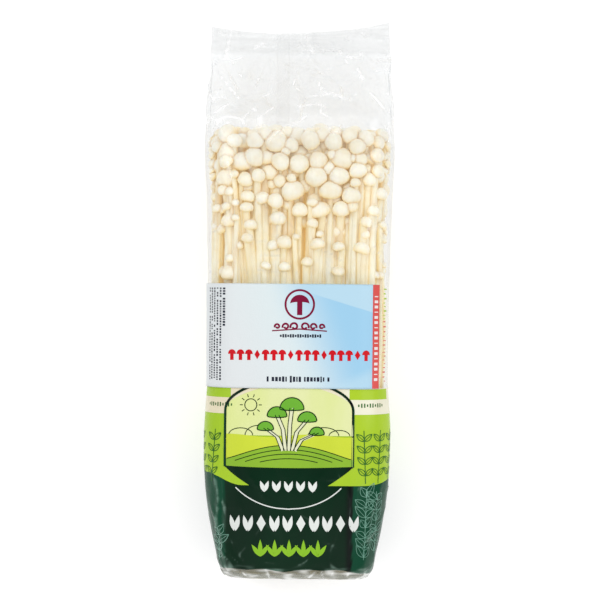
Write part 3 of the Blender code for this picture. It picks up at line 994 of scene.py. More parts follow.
@dataclass
class MushroomBunch:
    """All the mushrooms of the bunch, on their foot."""

    form: BagForm
    shading: FleshShading = FleshShading()
    seed: int = 21
    clearance: float = 1.3
    core_high_y: float = 46.0
    core_inset: float = 10.5
    root_y: float = -90.0
    top_root_sink: float = 4.0
    top_root_inset: float = 4.4
    stem_radius: float = 1.3
    stem_bend_share: float = 0.55
    stem_bend_depth: float = 0.8
    stem_film_gap: float = 1.0
    stem_foot_sink: float = 1.6
    stem_depths: tuple[float, float] = (0.5, 4.0)
    rim_high_y: float = 56.0
    rim_low_y: float = 6.0
    rim_count: int = 36
    rim_radii: tuple[float, float] = (2.4, 4.2)
    rim_crowding: float = 0.6
    lean_low: float = math.radians(14)
    lean_more: float = math.radians(44)
    lean_jitter: float = math.radians(7)
    sway: float = 0.32
    slant: float = 0.011
    crown_y: float = 64.2
    crown_fall: float = 9.0
    crown_jitter: float = 3.0
    crown_tilt: float = math.radians(30)
    crown_count: int = 27
    crown_radii: tuple[float, float] = (3.0, 4.6)
    overlap: float = 0.86
    under_seed: int = 8
    under_count: int = 60
    under_sink: float = 4.0
    under_overlap: float = 0.6
    neck_back: float = 0.9
    neck_drop: float = 1.6
    fill_seed: int = 5
    fill_tries: int = 3000
    fill_layers: tuple[FillLayer, ...] = (
        FillLayer(60, 0.3, 1.4, 0.4, 0.68, 43.0, 62.0, (2.6, 4.3)),
        FillLayer(85, 0.3, 1.4, 0.4, 0.66, 9.0, 61.0, (1.5, 2.9)),
        FillLayer(130, 3.0, 1.8, 0.3, 0.62, 24.0, 62.5, (2.0, 3.8)),
        FillLayer(120, 6.2, 2.2, 1.2, 0.58, 34.0, 62.0, (2.2, 3.8)),
        FillLayer(34, -0.4, 0.5, -2.2, 0.5, 8.0, 60.0, (1.5, 2.8), (-0.33, -0.17)),
        FillLayer(26, -0.4, 0.5, -2.0, 0.5, 8.0, 60.0, (1.5, 2.8), (0.17, 0.33)),
    )
    wander: tuple[float, float] = (0.2, 1.1)
    wander_turns: tuple[float, float] = (7.0, 9.0)
    wander_rise: float = 0.5
    stem_sizes: tuple[float, float] = (0.85, 1.25)
    stem_most: float = 0.6
    stem_ovals: tuple[float, float] = (0.86, 1.0)
    stem_wave: float = 0.1
    stem_wave_turns: float = 9.0
    stem_spread: float = 0.14
    stem_narrowing: float = 0.1
    stem_whitening: float = 0.25
    cap_heights: tuple[float, float] = (0.8, 1.0)
    cap_wave: float = 0.2
    cap_waves: tuple[int, ...] = (2, 3, 5)
    cap_wave_reach: float = 1.2
    cap_round: float = 0.86
    cap_low_turn: float = 0.1
    cap_rings: int = 9
    cap_underside_value: float = 0.55
    cap_tip: float = 0.02
    cap_underside: tuple[tuple[float, float], ...] = (
        (0.46, -0.24),
        (0.74, -0.40),
        (0.92, -0.34),
        (1.0, -0.12),
    )
    sides: int = 14
    stem_steps: int = 16
    core_steps: tuple[int, int, int] = (34, 18, 18)
    core_row_step: float = 1.6
    core_stations: tuple[tuple[float, float], ...] = (
        (-102.6, 3.6), (-101.4, 2.2), (-99.6, 1.6), (-92.0, 1.4), (-84.0, 1.7), (-81.0, 5.0),
        (-79.0, 8.5), (-60.0, 8.1), (-30.0, 8.5), (0.0, 8.5), (40.0, 9.5), (46.0, 13.5),
    )
    core_ridge: float = 0.55
    core_ridge_pitch: float = 2.5
    core_ridge_sway: float = 0.6
    core_ridge_sway_length: float = 17.0
    core_lump: Ripple = Ripple(0.5, 4.0, 9.0, 3.3)
    core_sink: float = 0.8
    core_painted_shade: float = 0.9
    foot_shares: tuple[float, ...] = (0.86, 0.7, 0.54, 0.38, 0.22, 0.06)
    foot_lump: Ripple = Ripple(1.4, 3.3, 3.3, 35.0)
    foot_top_y: float = -80.0
    foot_deep: float = 0.35
    foot_stain: Ripple = Ripple(0.5, 4.1, 4.1, 37.0)
    foot_deep_span: tuple[float, float] = (0.1, 0.8)
    front_caps: tuple[tuple[float, float, float], ...] = (
        (-24.0, 58.5, 5.6), (-16.5, 58.6, 6.6), (-8.9, 58.3, 8.6), (3.9, 58.9, 7.4),
        (12.4, 58.3, 7.2), (21.1, 56.6, 6.6), (-27.0, 50.8, 5.4), (-16.8, 52.5, 7.8),
        (-7.1, 50.8, 7.2), (-0.3, 50.2, 7.8), (6.8, 51.4, 7.2), (15.5, 52.2, 8.6),
        (28.9, 47.9, 5.6), (-20.1, 44.1, 6.0), (6.1, 45.5, 8.4), (14.4, 45.8, 7.8),
        (21.4, 47.8, 6.6), (-15.2, 45.5, 5.6), (-2.6, 40.0, 8.8), (11.5, 40.3, 8.2),
        (19.0, 38.5, 7.4), (-28.2, 40.3, 4.4), (-8.9, 36.2, 6.2), (0.2, 33.0, 6.6),
        (7.5, 33.0, 7.8), (15.4, 33.4, 6.8), (27.4, 33.0, 4.8), (-7.8, 29.8, 6.2),
        (-17.8, 27.2, 5.0), (24.5, 28.6, 5.2), (-19.0, 22.4, 4.6), (-5.3, 20.8, 6.0),
        (14.6, 19.6, 4.6), (23.0, 18.8, 6.2), (3.0, 13.8, 4.6), (-12.1, 12.4, 4.0),
    )
    caps: np.ndarray = field(init=False, repr=False)

    def build(self, flesh: Material) -> list[Object]:
        """Makes the bunch's pieces.

        Args:
            flesh: The mushrooms' material.

        Returns:
            The pieces.
        """
        rng = random.Random(self.seed)
        front = [self._front(rng, *cap) for cap in self.front_caps]
        rim = self._rim(rng, front)
        crown = self._crown(rng, front + rim, self.crown_count, 0.0, self.overlap)
        under = random.Random(self.under_seed)
        placed = front + rim + crown
        crown += self._crown(under, placed, self.under_count, self.under_sink, self.under_overlap)
        fill = self._fill(random.Random(self.fill_seed), front + rim + crown)
        everyone = front + rim + crown + fill
        self.caps = np.array([(*m.centre, m.radius) for m in everyone])
        third = len(fill) // 3
        return [
            self._piece("enoki_front", front, flesh, 1),
            self._piece("enoki_sides_and_back", rim, flesh, 2),
            self._piece("enoki_crown", crown, flesh, 3),
            self._piece("enoki_between", fill[:third], flesh, 4),
            self._piece("enoki_behind", fill[third:2 * third], flesh, 5),
            self._piece("enoki_deepest", fill[2 * third:], flesh, 6),
            self._core(flesh),
        ]

    def lean_at(self, y: float) -> float:
        """How far caps face outward: crowded upper ones face the film, low ones stand up."""
        share = min(max((y - self.rim_low_y) / (self.rim_high_y - self.rim_low_y), 0.0), 1.0)
        return self.lean_low + self.lean_more * share**1.7

    def neck(self, centre: Vector, axis: Vector, radius: float) -> Vector:
        """Where the stem bends up into the cap."""
        return centre - axis * radius * self.neck_back - Vector((0, radius * self.neck_drop, 0))

    def _rim_mushroom(
        self,
        rng: random.Random,
        y: float,
        share: float,
        radius: float,
        extra: float = 0.0,
        stem_extra: float = 0.0,
    ) -> Mushroom:
        """A mushroom that stands along the film, down to the foot.

        Args:
            rng: Draws its stem's depth and how it leans.
            y: Where its cap is along the bag.
            share: Where it is round the bag, from -0.5 to 0.5 of the length round.
            radius: Its cap's radius.
            extra: How much deeper its cap lies than those next to the film.
            stem_extra: How much deeper its stem lies.

        Returns:
            The mushroom.
        """
        depth = rng.uniform(*self.stem_depths)
        inset = self.clearance + radius + extra
        centre, outward = self.form.at(share * self.form.perimeter(y, inset), y, inset)
        side = Vector((outward.z, 0.0, -outward.x)) * rng.uniform(-self.sway, self.sway)
        lean = self.lean_at(y) + rng.uniform(-self.lean_jitter, self.lean_jitter)
        axis = (Vector((0, math.cos(lean), 0)) + outward * math.sin(lean) + side).normalized()
        stem = []
        slant = rng.uniform(-self.slant, self.slant)
        for part, bend in ((0.0, 1.0), (self.stem_bend_share, self.stem_bend_depth)):
            low = self.root_y + (y - self.root_y) * part
            at = self.clearance + self.stem_radius + self.stem_film_gap + stem_extra
            at += depth * bend + self.stem_foot_sink * (1 - part)
            turned = share + slant * (1 - part)
            stem.append(self.form.at(turned * self.form.perimeter(low, at), low, at)[0])
        stem.append(self.neck(centre, axis, radius))
        # Its depth sets how much painted shade it takes.
        return Mushroom(centre, radius, axis, tuple(stem), depth + max(extra - 1.5, 0.0), outward)

    def _front(self, rng: random.Random, x: float, y: float, diameter: float) -> Mushroom:
        """A mushroom seen through the front.

        Args:
            rng: Draws its stem's depth and how it leans.
            x: Its cap's place across the pack.
            y: Its cap's place along the pack.
            diameter: Its cap's diameter.

        Returns:
            The mushroom.
        """
        radius = diameter / 2
        inset = self.clearance + radius
        a, _, r, _, _ = self.form.section(y, inset)
        s = min(abs(x), a - r)
        if abs(x) > a - r:
            s += r * math.asin(min((abs(x) - a + r) / r, 1.0))
        return self._rim_mushroom(rng, y, math.copysign(s, x) / self.form.perimeter(y, inset), radius)

    def _clear_of(
        self, centre: Vector, radius: float, others: Sequence[Mushroom], overlap: float
    ) -> bool:
        """True if a cap here would hardly overlap the others."""
        return all((centre - m.centre).length > overlap * (radius + m.radius) for m in others)

    def _rim(self, rng: random.Random, placed: list[Mushroom]) -> list[Mushroom]:
        """Mushrooms all round the sides and back, crowded above and sparse below.

        Args:
            rng: Draws where they stand.
            placed: Mushrooms to keep clear of.

        Returns:
            The new mushrooms.
        """
        made: list[Mushroom] = []
        while len(made) < self.rim_count:
            y = self.rim_low_y + (self.rim_high_y - self.rim_low_y) * rng.random() ** self.rim_crowding
            mushroom = self._rim_mushroom(rng, y, rng.uniform(-0.5, 0.5), rng.uniform(*self.rim_radii))
            if self._clear_of(mushroom.centre, mushroom.radius, placed + made, self.overlap):
                made.append(mushroom)
        return made

    def _crown(
        self, rng: random.Random, placed: list[Mushroom], count: int, sink: float, overlap: float
    ) -> list[Mushroom]:
        """The crowded caps of the crown.

        Args:
            rng: Draws where they stand.
            placed: Mushrooms to keep clear of.
            count: How many to make if there is room.
            sink: How far below the crown's top they lie.
            overlap: How crowded they are.

        Returns:
            The new mushrooms.
        """
        made: list[Mushroom] = []
        for _ in range(self.fill_tries):
            if len(made) == count:
                break
            share = rng.uniform(-0.5, 0.5)
            out = math.sqrt(rng.random())
            radius = rng.uniform(*self.crown_radii)
            y = self.crown_y - sink - self.crown_fall * out**3 - rng.uniform(0.0, self.crown_jitter)
            inset = self.clearance + radius + self.stem_film_gap
            rim, outward = self.form.at(share * self.form.perimeter(y, inset), y, inset)
            centre = Vector((0, y, self.form.section(y)[3])).lerp(rim, out)
            sway = Vector((rng.uniform(-self.sway, self.sway), 1.0, rng.uniform(-self.sway, self.sway)))
            axis = (sway + outward * math.tan(self.crown_tilt * out)).normalized()
            if not self._clear_of(centre, radius, placed + made, overlap):
                continue
            low = self.core_high_y - self.top_root_sink
            inset = self.core_inset + self.top_root_inset
            edge, _ = self.form.at(share * self.form.perimeter(low, inset), low, inset)
            root = Vector((0, low, self.form.section(low)[3])).lerp(edge, out)
            # The way out only steers the painted shade; crown caps take it tipped upward.
            outward = (outward * out + Vector((0, 1.0, 0))).normalized()
            stem = (root, self.neck(centre, axis, radius))
            made.append(Mushroom(centre, radius, axis, stem, 0.0, outward))
        return made

    def _fill(self, rng: random.Random, placed: list[Mushroom]) -> list[Mushroom]:
        """More mushrooms between and behind the others, so that the bunch is packed tight.

        Args:
            rng: Draws where they stand.
            placed: Mushrooms to keep clear of.

        Returns:
            The new mushrooms.
        """
        made: list[Mushroom] = []
        for layer in self.fill_layers:
            kept, tries = 0, 0
            while kept < layer.count and tries < self.fill_tries:
                tries += 1
                y = layer.low_y + (layer.high_y - layer.low_y) * rng.random() ** self.rim_crowding
                radius = rng.uniform(*layer.radii)
                extra = layer.extra + rng.uniform(0.0, layer.spread)
                share = rng.uniform(*layer.shares)
                mushroom = self._rim_mushroom(rng, y, share, radius, extra, layer.stem_extra)
                if self._clear_of(mushroom.centre, radius, placed + made, layer.overlap):
                    made.append(mushroom)
                    kept += 1
            log.info("fill layer at %.1f mm: %d mushrooms in %d tries", layer.extra, kept, tries)
        return made

    def _path(self, mushroom: Mushroom, rng: random.Random) -> np.ndarray:
        """The stem's points, on a smooth and slightly wandering curve up into the cap.

        Args:
            mushroom: Whose stem it is.
            rng: Draws how it wanders.

        Returns:
            The points, one row each.
        """
        knots = list(mushroom.stem) + [mushroom.centre]
        knots = [knots[0] * 2 - knots[1]] + knots + [mushroom.centre + mushroom.axis * mushroom.radius]
        spans = len(knots) - 3
        points = []
        for t in np.linspace(0.0, spans, self.stem_steps):
            i = min(int(t), spans - 1)
            f = t - i
            p0, p1, p2, p3 = knots[i:i + 4]
            square, cube = 2 * p0 - 5 * p1 + 4 * p2 - p3, 3 * p1 - p0 - 3 * p2 + p3
            points.append(0.5 * (2 * p1 + (p2 - p0) * f + square * f * f + cube * f**3))
        path = np.array([tuple(p) for p in points])
        share = np.linspace(0.0, 1.0, len(path))
        ease = 4 * share * (1 - share)
        reach = rng.uniform(*self.wander)
        first, second = rng.uniform(0.0, math.tau), rng.uniform(0.0, math.tau)
        path[:, 0] += reach * ease * np.sin(first + share * self.wander_turns[0])
        path[:, 2] += self.wander_rise * reach * ease * np.sin(second + share * self.wander_turns[1])
        return path

    def _stem(
        self, mushroom: Mushroom, rng: random.Random, turns: np.ndarray
    ) -> tuple[list[np.ndarray], list[np.ndarray], np.ndarray]:
        """The rings of a stem, from its root up into the cap.

        Args:
            mushroom: Whose stem it is.
            rng: Draws its path, thickness and section.
            turns: Each point's angle round a ring.

        Returns:
            The rings, their points' deep values of painted shade, and the ways out round the last ring.
        """
        path = self._path(mushroom, rng)
        tangents = np.gradient(path, axis=0)
        tangents[-1] = mushroom.axis
        tangents /= np.linalg.norm(tangents, axis=1)[:, None]
        size = min(self.stem_radius * rng.uniform(*self.stem_sizes), mushroom.radius * self.stem_most)
        oval, slew = rng.uniform(*self.stem_ovals), rng.uniform(0.0, math.pi)
        section = 1 - (1 - oval) * np.cos(turns + slew) ** 2
        across = np.array([1.0, 0.0, 0.0])
        rings, deep = [], []
        for share, point, along in zip(np.linspace(0.0, 1.0, len(path)), path, tangents):
            across = across - along * across.dot(along)
            across /= np.linalg.norm(across)
            around = np.outer(np.cos(turns), across) + np.outer(np.sin(turns), np.cross(along, across))
            bulge = 1.0 + self.stem_wave * math.sin(share * self.stem_wave_turns + slew)
            bulge += self.stem_spread * (1 - share) - self.stem_narrowing * share
            rings.append(point + around * (size * bulge * section)[:, None])
            # Painted shade on the side of the stem that faces into the bunch.
            inward = np.clip(self.shading.stem_from - around @ np.array(mushroom.outward), 0.0, 1.0)
            deep.append(self.shading.stem_share * inward)
        return rings, deep, around

    def _cap(
        self, mushroom: Mushroom, rng: random.Random, turns: np.ndarray, around: np.ndarray
    ) -> tuple[list[np.ndarray], list[np.ndarray], list[float]]:
        """The rings of a cap, from its underside out to the rim and over the dome to its tip.

        Args:
            mushroom: Whose cap it is.
            rng: Draws its height and waves.
            turns: Each point's angle round a ring.
            around: Each point's way out from the axis.

        Returns:
            The rings, their points' deep values of painted shade and their cap values.
        """
        shading = self.shading
        height = rng.uniform(*self.cap_heights)
        waves = [
            (n, rng.uniform(0.0, self.cap_wave / n), rng.uniform(0.0, math.tau)) for n in self.cap_waves
        ]
        wobble = sum(depth * np.cos(n * turns + phase) for n, depth, phase in waves)
        widest = self.cap_underside[-1][1]
        profile = list(self.cap_underside)
        for t in np.linspace(self.cap_low_turn, 1.0, self.cap_rings)[:-1] * math.pi / 2:
            profile.append((math.cos(t) ** self.cap_round, widest + (height - widest) * math.sin(t)))
        centre, axis = np.array(mushroom.centre), np.array(mushroom.axis)
        # The way out, tipped up the cap's axis, steers its painted shade.
        out_way = np.array(mushroom.outward) + shading.upward * axis
        out_way /= np.linalg.norm(out_way)
        rings, deep, caps = [], [], []
        for out, up in profile:
            radii = mushroom.radius * out * (1.0 + wobble * min(1.0, out * self.cap_wave_reach))
            rings.append(centre + axis * mushroom.radius * up + around * radii[:, None])
            above = (up - widest) / (height - widest)
            caps.append(self.cap_underside_value if above < 0 else 1.0)
            # Painted shade under the cap, in a band round its rim, and on its side that faces into the
            # bunch.
            facing = (around * out + axis * max(above, 0.0)) @ out_way
            rim = shading.under_cap_shade if above < 0 else shading.rim * max(1.0 - shading.rim_fade * above, 0.0)
            deep.append(rim + shading.cap_share * np.clip(shading.cap_from - facing, 0.0, 1.0))
        tip = centre + axis * mushroom.radius * height
        rings.append(tip + self.cap_tip * (rings[-1] - tip))
        return rings, deep + deep[-1:], caps + [1.0]

    def _one(
        self, mushroom: Mushroom, rng: random.Random
    ) -> tuple[np.ndarray, np.ndarray, np.ndarray]:
        """One mushroom's rings of points from root to tip.

        Args:
            mushroom: What to build.
            rng: Draws its own small irregularities.

        Returns:
            Points by ring and side, the cap value of each ring, and the deep value of painted shade at each
            point.
        """
        turns = np.linspace(0.0, math.tau, self.sides, endpoint=False)
        stem, stem_deep, around = self._stem(mushroom, rng, turns)
        cap, cap_deep, cap_values = self._cap(mushroom, rng, turns, around)
        caps = np.array([*(self.stem_whitening * np.linspace(0.0, 1.0, len(stem)) ** 3), *cap_values])
        shading = self.shading
        # Painted shade by how deep the mushroom stands, less on its cap.
        shade = min(mushroom.depth * shading.by_depth, shading.most_by_depth)
        deep = shade * (1.0 - shading.cap_relief * caps)[:, None] + np.array(stem_deep + cap_deep)
        return np.array(stem + cap), caps, deep

    def _touching(self, points: np.ndarray, mushroom: Mushroom) -> np.ndarray:
        """How near a mushroom's points are to other caps, for the painted shade where caps touch.

        Args:
            points: Its points by ring and side.
            mushroom: The mushroom.

        Returns:
            For each point a value from 0 to 1 where it touches another cap.
        """
        centres, radii = self.caps[:, :3], self.caps[:, 3]
        others = np.linalg.norm(centres - np.array(mushroom.centre), axis=1) > 0.01
        gaps = np.linalg.norm(points[..., None, :] - centres[others], axis=-1) - radii[others]
        return np.clip(1.0 - gaps.min(axis=-1) / self.shading.contact, 0.0, 1.0)

    def _piece(
        self, name: str, mushrooms: list[Mushroom], flesh: Material, seed: int
    ) -> Object:
        """Joins mushrooms into one piece with the values that its shader reads.

        Args:
            name: The piece's name.
            mushrooms: What it joins.
            flesh: Its material.
            seed: Seeds the mushrooms' small irregularities.

        Returns:
            The piece.
        """
        rng = random.Random(seed)
        points, faces = [], []
        values: dict[str, list[np.ndarray]] = {"cap": [], "tint": [], "deep": [], "touch": []}
        first = 0
        for mushroom in mushrooms:
            rings, caps, deep = self._one(mushroom, rng)
            count = len(rings) * self.sides
            points.append(rings.reshape(-1, 3))
            faces += tube_faces(len(rings), self.sides, first)
            first += count
            values["cap"].append(np.repeat(caps, self.sides))
            values["tint"].append(np.full(count, rng.random()))
            # Deep values of painted shade, and nearness to other caps for the painted contact shade.
            values["deep"].append(np.clip(deep, 0.0, self.shading.most).ravel())
            values["touch"].append(self._touching(rings, mushroom).ravel())
        joined = {label: np.concatenate(numbers) for label, numbers in values.items()}
        placed = np.concatenate(points)
        return make_piece(name, placed, faces, [flesh], ["enoki_bunch"], joined)

    def _core(self, flesh: Material) -> Object:
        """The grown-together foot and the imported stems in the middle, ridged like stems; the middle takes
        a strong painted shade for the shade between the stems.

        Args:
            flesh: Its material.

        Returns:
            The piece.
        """
        heights, depths = zip(*self.core_stations)
        rows_y = spread(heights[0], heights[-1], self.core_row_step)
        points = []
        for y, inset in zip(rows_y, np.interp(rows_y, heights, depths)):
            s = self.form.ring(y, self.core_steps, inset)
            sway = self.core_ridge_sway * math.sin(y / self.core_ridge_sway_length)
            ridge = self.core_ridge * np.abs(np.sin(s * math.pi / self.core_ridge_pitch + sway))
            placed, outward = self.form.place(s, y, inset)
            points.append(placed + outward * (ridge + self.core_lump.at(s, y) - self.core_sink)[:, None])
        foot, middle = points[0], points[0].mean(axis=0)
        for share in self.foot_shares:
            ring = middle + (foot - middle) * share
            ring[:, 1] += self.foot_lump.at(ring[:, 0], ring[:, 2])
            points.insert(0, ring)
        faces = tube_faces(len(points), len(foot))
        placed = np.concatenate(points)
        # Below the foot's top a brownish stain of the foot; above it a strong painted shade for the shade
        # between the stems. Both set the painted glow as well.
        stain = self.foot_deep + self.foot_stain.at(placed[:, 0], placed[:, 2])
        shade = np.where(
            placed[:, 1] < self.foot_top_y, np.clip(stain, *self.foot_deep_span), self.core_painted_shade
        )
        values = {"cap": np.zeros(len(placed)), "deep": shade, "tint": np.full(len(placed), 0.5)}
        return make_piece("enoki_foot", placed, faces, [flesh], ["enoki_bunch"], values)


# The film bag


@dataclass(frozen=True)
class Crease:
    """One sharp fold in the film, along points across and along the sheet."""

    path: tuple[tuple[float, float], ...]
    height: float
    width: float
    # How milk-white it is, with a painted white glint along it.
    milk_and_glint: float = 0.6

    @property
    def reach(self) -> float:
        """How far from its start along the bag it can matter."""
        return 6.0 + sum(math.dist(p, q) for p, q in zip(self.path, self.path[1:]))

    def strength(self, s: np.ndarray, y: np.ndarray) -> np.ndarray:
        """How near each place is to the fold, easing off at its ends.

        Args:
            s: Places across.
            y: Places along.

        Returns:
            Values from 0 to 1 on the fold.
        """
        best = np.zeros_like(s)
        legs = list(zip(self.path, self.path[1:]))
        total = sum(math.dist(p, q) for p, q in legs)
        before = 0.0
        for (px, py), (qx, qy) in legs:
            length = math.dist((px, py), (qx, qy))
            t = np.clip(((s - px) * (qx - px) + (y - py) * (qy - py)) / length**2, 0.0, 1.0)
            gap = np.hypot(s - px - t * (qx - px), y - py - t * (qy - py))
            run = (before + t * length) / total
            fade = np.minimum(1.0, 4.0 * np.minimum(run, 1.0 - run) + 0.15)
            best = np.maximum(best, np.exp(-gap / self.width) * fade)
            before += length
        return best


@dataclass(frozen=True)
class CreaseField:
    """Random small creases over part of the film: how many, where, how long, how high, how milk-white with
    painted glints, and how they lie.
    """

    count: int
    low_y: float
    high_y: float
    length: tuple[float, float]
    height: tuple[float, float]
    milk_and_glint: tuple[float, float]
    upright: float
    width: tuple[float, float] = (0.35, 0.8)

    def draw(self, rng: random.Random, round_s: float) -> list[Crease]:
        """Draws the field's creases.

        Args:
            rng: The source of randomness.
            round_s: Half the length round the bag.

        Returns:
            The creases.
        """
        creases = []
        for _ in range(self.count):
            s, y = rng.uniform(-round_s, round_s), rng.uniform(self.low_y, self.high_y)
            turn = rng.gauss(0.0, 0.5) + (0.0 if rng.random() < self.upright else math.pi / 2)
            bend, half = rng.uniform(-0.25, 0.25), rng.uniform(*self.length) / 2
            ends = [(s + side * half * math.sin(turn), y + side * half * math.cos(turn)) for side in (-1, 1)]
            middle = (s + bend * half * math.cos(turn), y - bend * half * math.sin(turn))
            path = (ends[0], middle, ends[1])
            height, width = rng.uniform(*self.height), rng.uniform(*self.width)
            creases.append(Crease(path, height, width, rng.uniform(*self.milk_and_glint)))
        return creases


@dataclass
class FilmRelief:
    """The film's wrinkles: how far it stands off its smooth form, and how milk-white it is, with painted
    white glints along its creases.
    """

    form: BagForm
    seed: int = 31
    band: float = 6.0
    label_y: tuple[float, float] = (-33.0, 7.0)
    label_ease: float = 3.0
    back_s: tuple[float, float] = (44.0, 54.0)
    panel_s: tuple[float, float] = (-26.0, 20.2)
    panel_fade: tuple[float, float] = (72.0, 62.0)
    fold_shade_in: tuple[float, float] = (-2.8, -0.6)
    fold_shade_out: tuple[float, float] = (0.4, 0.0)
    slack_in: tuple[float, float] = (58.0, 72.0)
    slack_out: tuple[float, float] = (98.5, 93.0)
    foot_y: tuple[float, float] = (-96.0, -102.0)
    seal_y: tuple[float, float] = (93.5, 96.0)
    slight: tuple[Ripple, ...] = (Ripple(0.16, 9.0, 15.0, 0.3), Ripple(0.05, 2.6, 5.0, 4.1))
    slack: tuple[Ripple, ...] = (Ripple(0.7, 15.0, 9.0, 7.7), Ripple(0.3, 5.0, 7.0, 9.7))
    pleats: tuple[Ripple, ...] = (Ripple(0.5, 2.2, 9.0, 15.2), Ripple(0.35, 6.0, 3.0, 16.2))
    seal_ribs: Ripple = Ripple(0.25, 14.0, 4.0, 21.0)
    cloud: Ripple = Ripple(0.1, 12.0, 16.0, 30.0)
    foot_streaks: Ripple = Ripple(0.9, 5.0, 1.5, 88.0)
    seal_streaks: Ripple = Ripple(0.5, 7.0, 1.6, 24.0)
    foot_milk_and_glint: tuple[float, float] = (0.15, 0.1)
    slack_milk_and_glint: float = 0.04
    seal_milk_and_glint: float = -0.04
    least_milk_and_glint: float = 0.02
    veil: float = 0.34
    veil_in: tuple[float, float] = (47.0, 62.0)
    veil_out: tuple[float, float] = (74.0, 64.0)
    slack_crumple: float = 0.8
    foot_crumple: float = 0.5
    seal_crumple: float = 0.4
    least_crumple: float = 0.2
    # Random creases; each makes the film milk-white with a painted white glint along it.
    fields: tuple[CreaseField, ...] = (
        CreaseField(170, 64.0, 97.0, (4.0, 18.0), (-0.3, 0.4), (0.1, 0.6), 0.55),
        CreaseField(60, 94.0, 105.0, (2.0, 5.0), (-0.25, 0.3), (0.2, 0.8), 0.9),
        CreaseField(110, 6.0, 64.0, (3.0, 12.0), (0.06, 0.26), (0.05, 0.75), 0.85),
        CreaseField(60, -98.0, -40.0, (5.0, 18.0), (-0.2, 0.28), (0.02, 0.24), 0.8),
        CreaseField(60, -104.0, -94.0, (2.0, 8.0), (-0.4, 0.5), (0.1, 0.7), 0.7),
    )
    # Listed creases: path, height, width, and milk-white with a painted white glint.
    creases: tuple[Crease, ...] = (
        Crease(((-32.5, 87.0), (-21.0, 72.0)), 1.0, 0.8, 0.9),
        Crease(((-35.0, 73.5), (-29.0, 75.4), (-22.0, 71.0)), 0.8, 0.8, 0.7),
        Crease(((-33.0, 68.0), (-27.5, 71.5), (-25.0, 73.0)), 0.6, 0.9, 0.7),
        Crease(((31.0, 93.0), (33.0, 78.0), (34.0, 53.0)), 0.8, 0.7, 0.5),
        Crease(((28.0, 90.0), (29.5, 76.0), (28.0, 66.0)), 0.6, 0.7, 0.4),
        Crease(((-3.0, 74.5), (10.0, 76.5), (24.0, 73.0)), 0.6, 1.5, 0.6),
        Crease(((-4.0, 70.5), (6.0, 72.6), (12.0, 70.0)), 0.6, 1.4, 0.6),
        Crease(((21.0, 91.0), (24.5, 80.0)), 0.7, 1.1, 0.6),
        Crease(((13.0, 82.0), (19.0, 84.5), (26.0, 84.0)), 0.5, 1.2, 0.5),
        Crease(((-12.0, 96.0), (-10.5, 70.0)), 0.4, 0.7, 0.4),
        Crease(((-24.0, 40.0), (-27.0, 52.0)), 0.4, 0.7, 0.8),
        Crease(((-28.0, 26.0), (-25.0, 32.0)), 0.35, 0.7, 0.6),
        Crease(((-15.0, 16.5), (-6.0, 16.2)), 0.4, 0.5, 0.9),
        Crease(((27.0, 38.0), (24.5, 20.0)), 0.3, 0.6, 0.5),
        Crease(((19.6, -66.0), (19.8, -99.0)), 0.7, 0.9, 0.2),
        Crease(((-26.2, -66.0), (-26.4, -100.0)), 0.6, 0.7, 0.3),
        Crease(((-31.5, -62.0), (-29.0, -72.0), (-31.0, -90.0)), 0.9, 0.8, 0.7),
        Crease(((-29.0, -72.0), (-26.4, -76.0), (-26.0, -84.0)), 0.6, 0.6, 0.5),
        Crease(((-35.0, -74.0), (-28.0, -86.0), (-27.5, -98.0)), 0.8, 0.7, 0.5),
        Crease(((22.0, -92.0), (31.0, -84.0)), 0.5, 0.7, 0.5),
        Crease(((33.0, -66.0), (27.0, -80.0), (26.0, -98.0)), 0.7, 0.7, 0.4),
        Crease(((20.5, -40.0), (20.2, -66.0)), 0.4, 0.7, 0.5),
        Crease(((-6.0, -78.5), (-5.0, -99.0)), 0.3, 0.7, 0.15),
    )
    drawn: list[Crease] = field(init=False, repr=False)

    def __post_init__(self) -> None:
        """Draws the random creases."""
        rng = random.Random(self.seed)
        round_s = float(self.form.perimeter(0.0)) / 2
        self.drawn = list(self.creases)
        for part in self.fields:
            self.drawn += part.draw(rng, round_s)

    def measure(self, s: np.ndarray, y: np.ndarray) -> dict[str, np.ndarray]:
        """The film's wrinkles at each place.

        Args:
            s: Arc lengths from the front's middle.
            y: Places along the bag.

        Returns:
            Heights in mm off the smooth form, and from 0 to 1 the milk-white and painted glints, crumple,
            seal, the sides of the front panel, painted lighter, and the fold along its right edge, painted
            dark.
        """
        low, high = self.label_y
        flat = 1.0 - ramp(y, low - self.label_ease, low) * ramp(y, high + self.label_ease, high)
        flat = np.maximum(flat, ramp(np.abs(s), *self.back_s))
        loose = ramp(y, *self.slack_in) * ramp(y, *self.slack_out)
        foot, seal = ramp(y, *self.foot_y), ramp(y, *self.seal_y)
        height = rippled(self.slight, s, y) + loose * rippled(self.slack, s, y)
        height += foot * rippled(self.pleats, s, y) + seal * self.seal_ribs.at(s, y)
        # Milk-white film at the foot, in slack, seal streaks and the top veil, and painted white glints
        # along the creases.
        milk_and_glint = self.foot_milk_and_glint[0] * foot + self.slack_milk_and_glint * loose
        milk_and_glint += np.clip(self.cloud.at(s, y), 0.0, 1.0)
        milk_and_glint += foot * np.clip(self.foot_streaks.at(s, y) + self.foot_milk_and_glint[1], 0.0, 1.0)
        milk_and_glint += seal * np.clip(self.seal_streaks.at(s, y) + self.seal_milk_and_glint, 0.0, 1.0)
        milk_and_glint += self.veil * ramp(y, *self.veil_in) * ramp(y, *self.veil_out)
        for crease in self.drawn:
            if abs(crease.path[0][1] - float(np.mean(y))) > crease.reach:
                continue
            near = crease.strength(s, y)
            height += crease.height * near
            milk_and_glint += crease.milk_and_glint * near**2
        crumple = self.slack_crumple * loose + self.foot_crumple * foot + self.seal_crumple * seal
        crumple = np.clip(crumple + self.least_crumple, 0.0, 1.0)
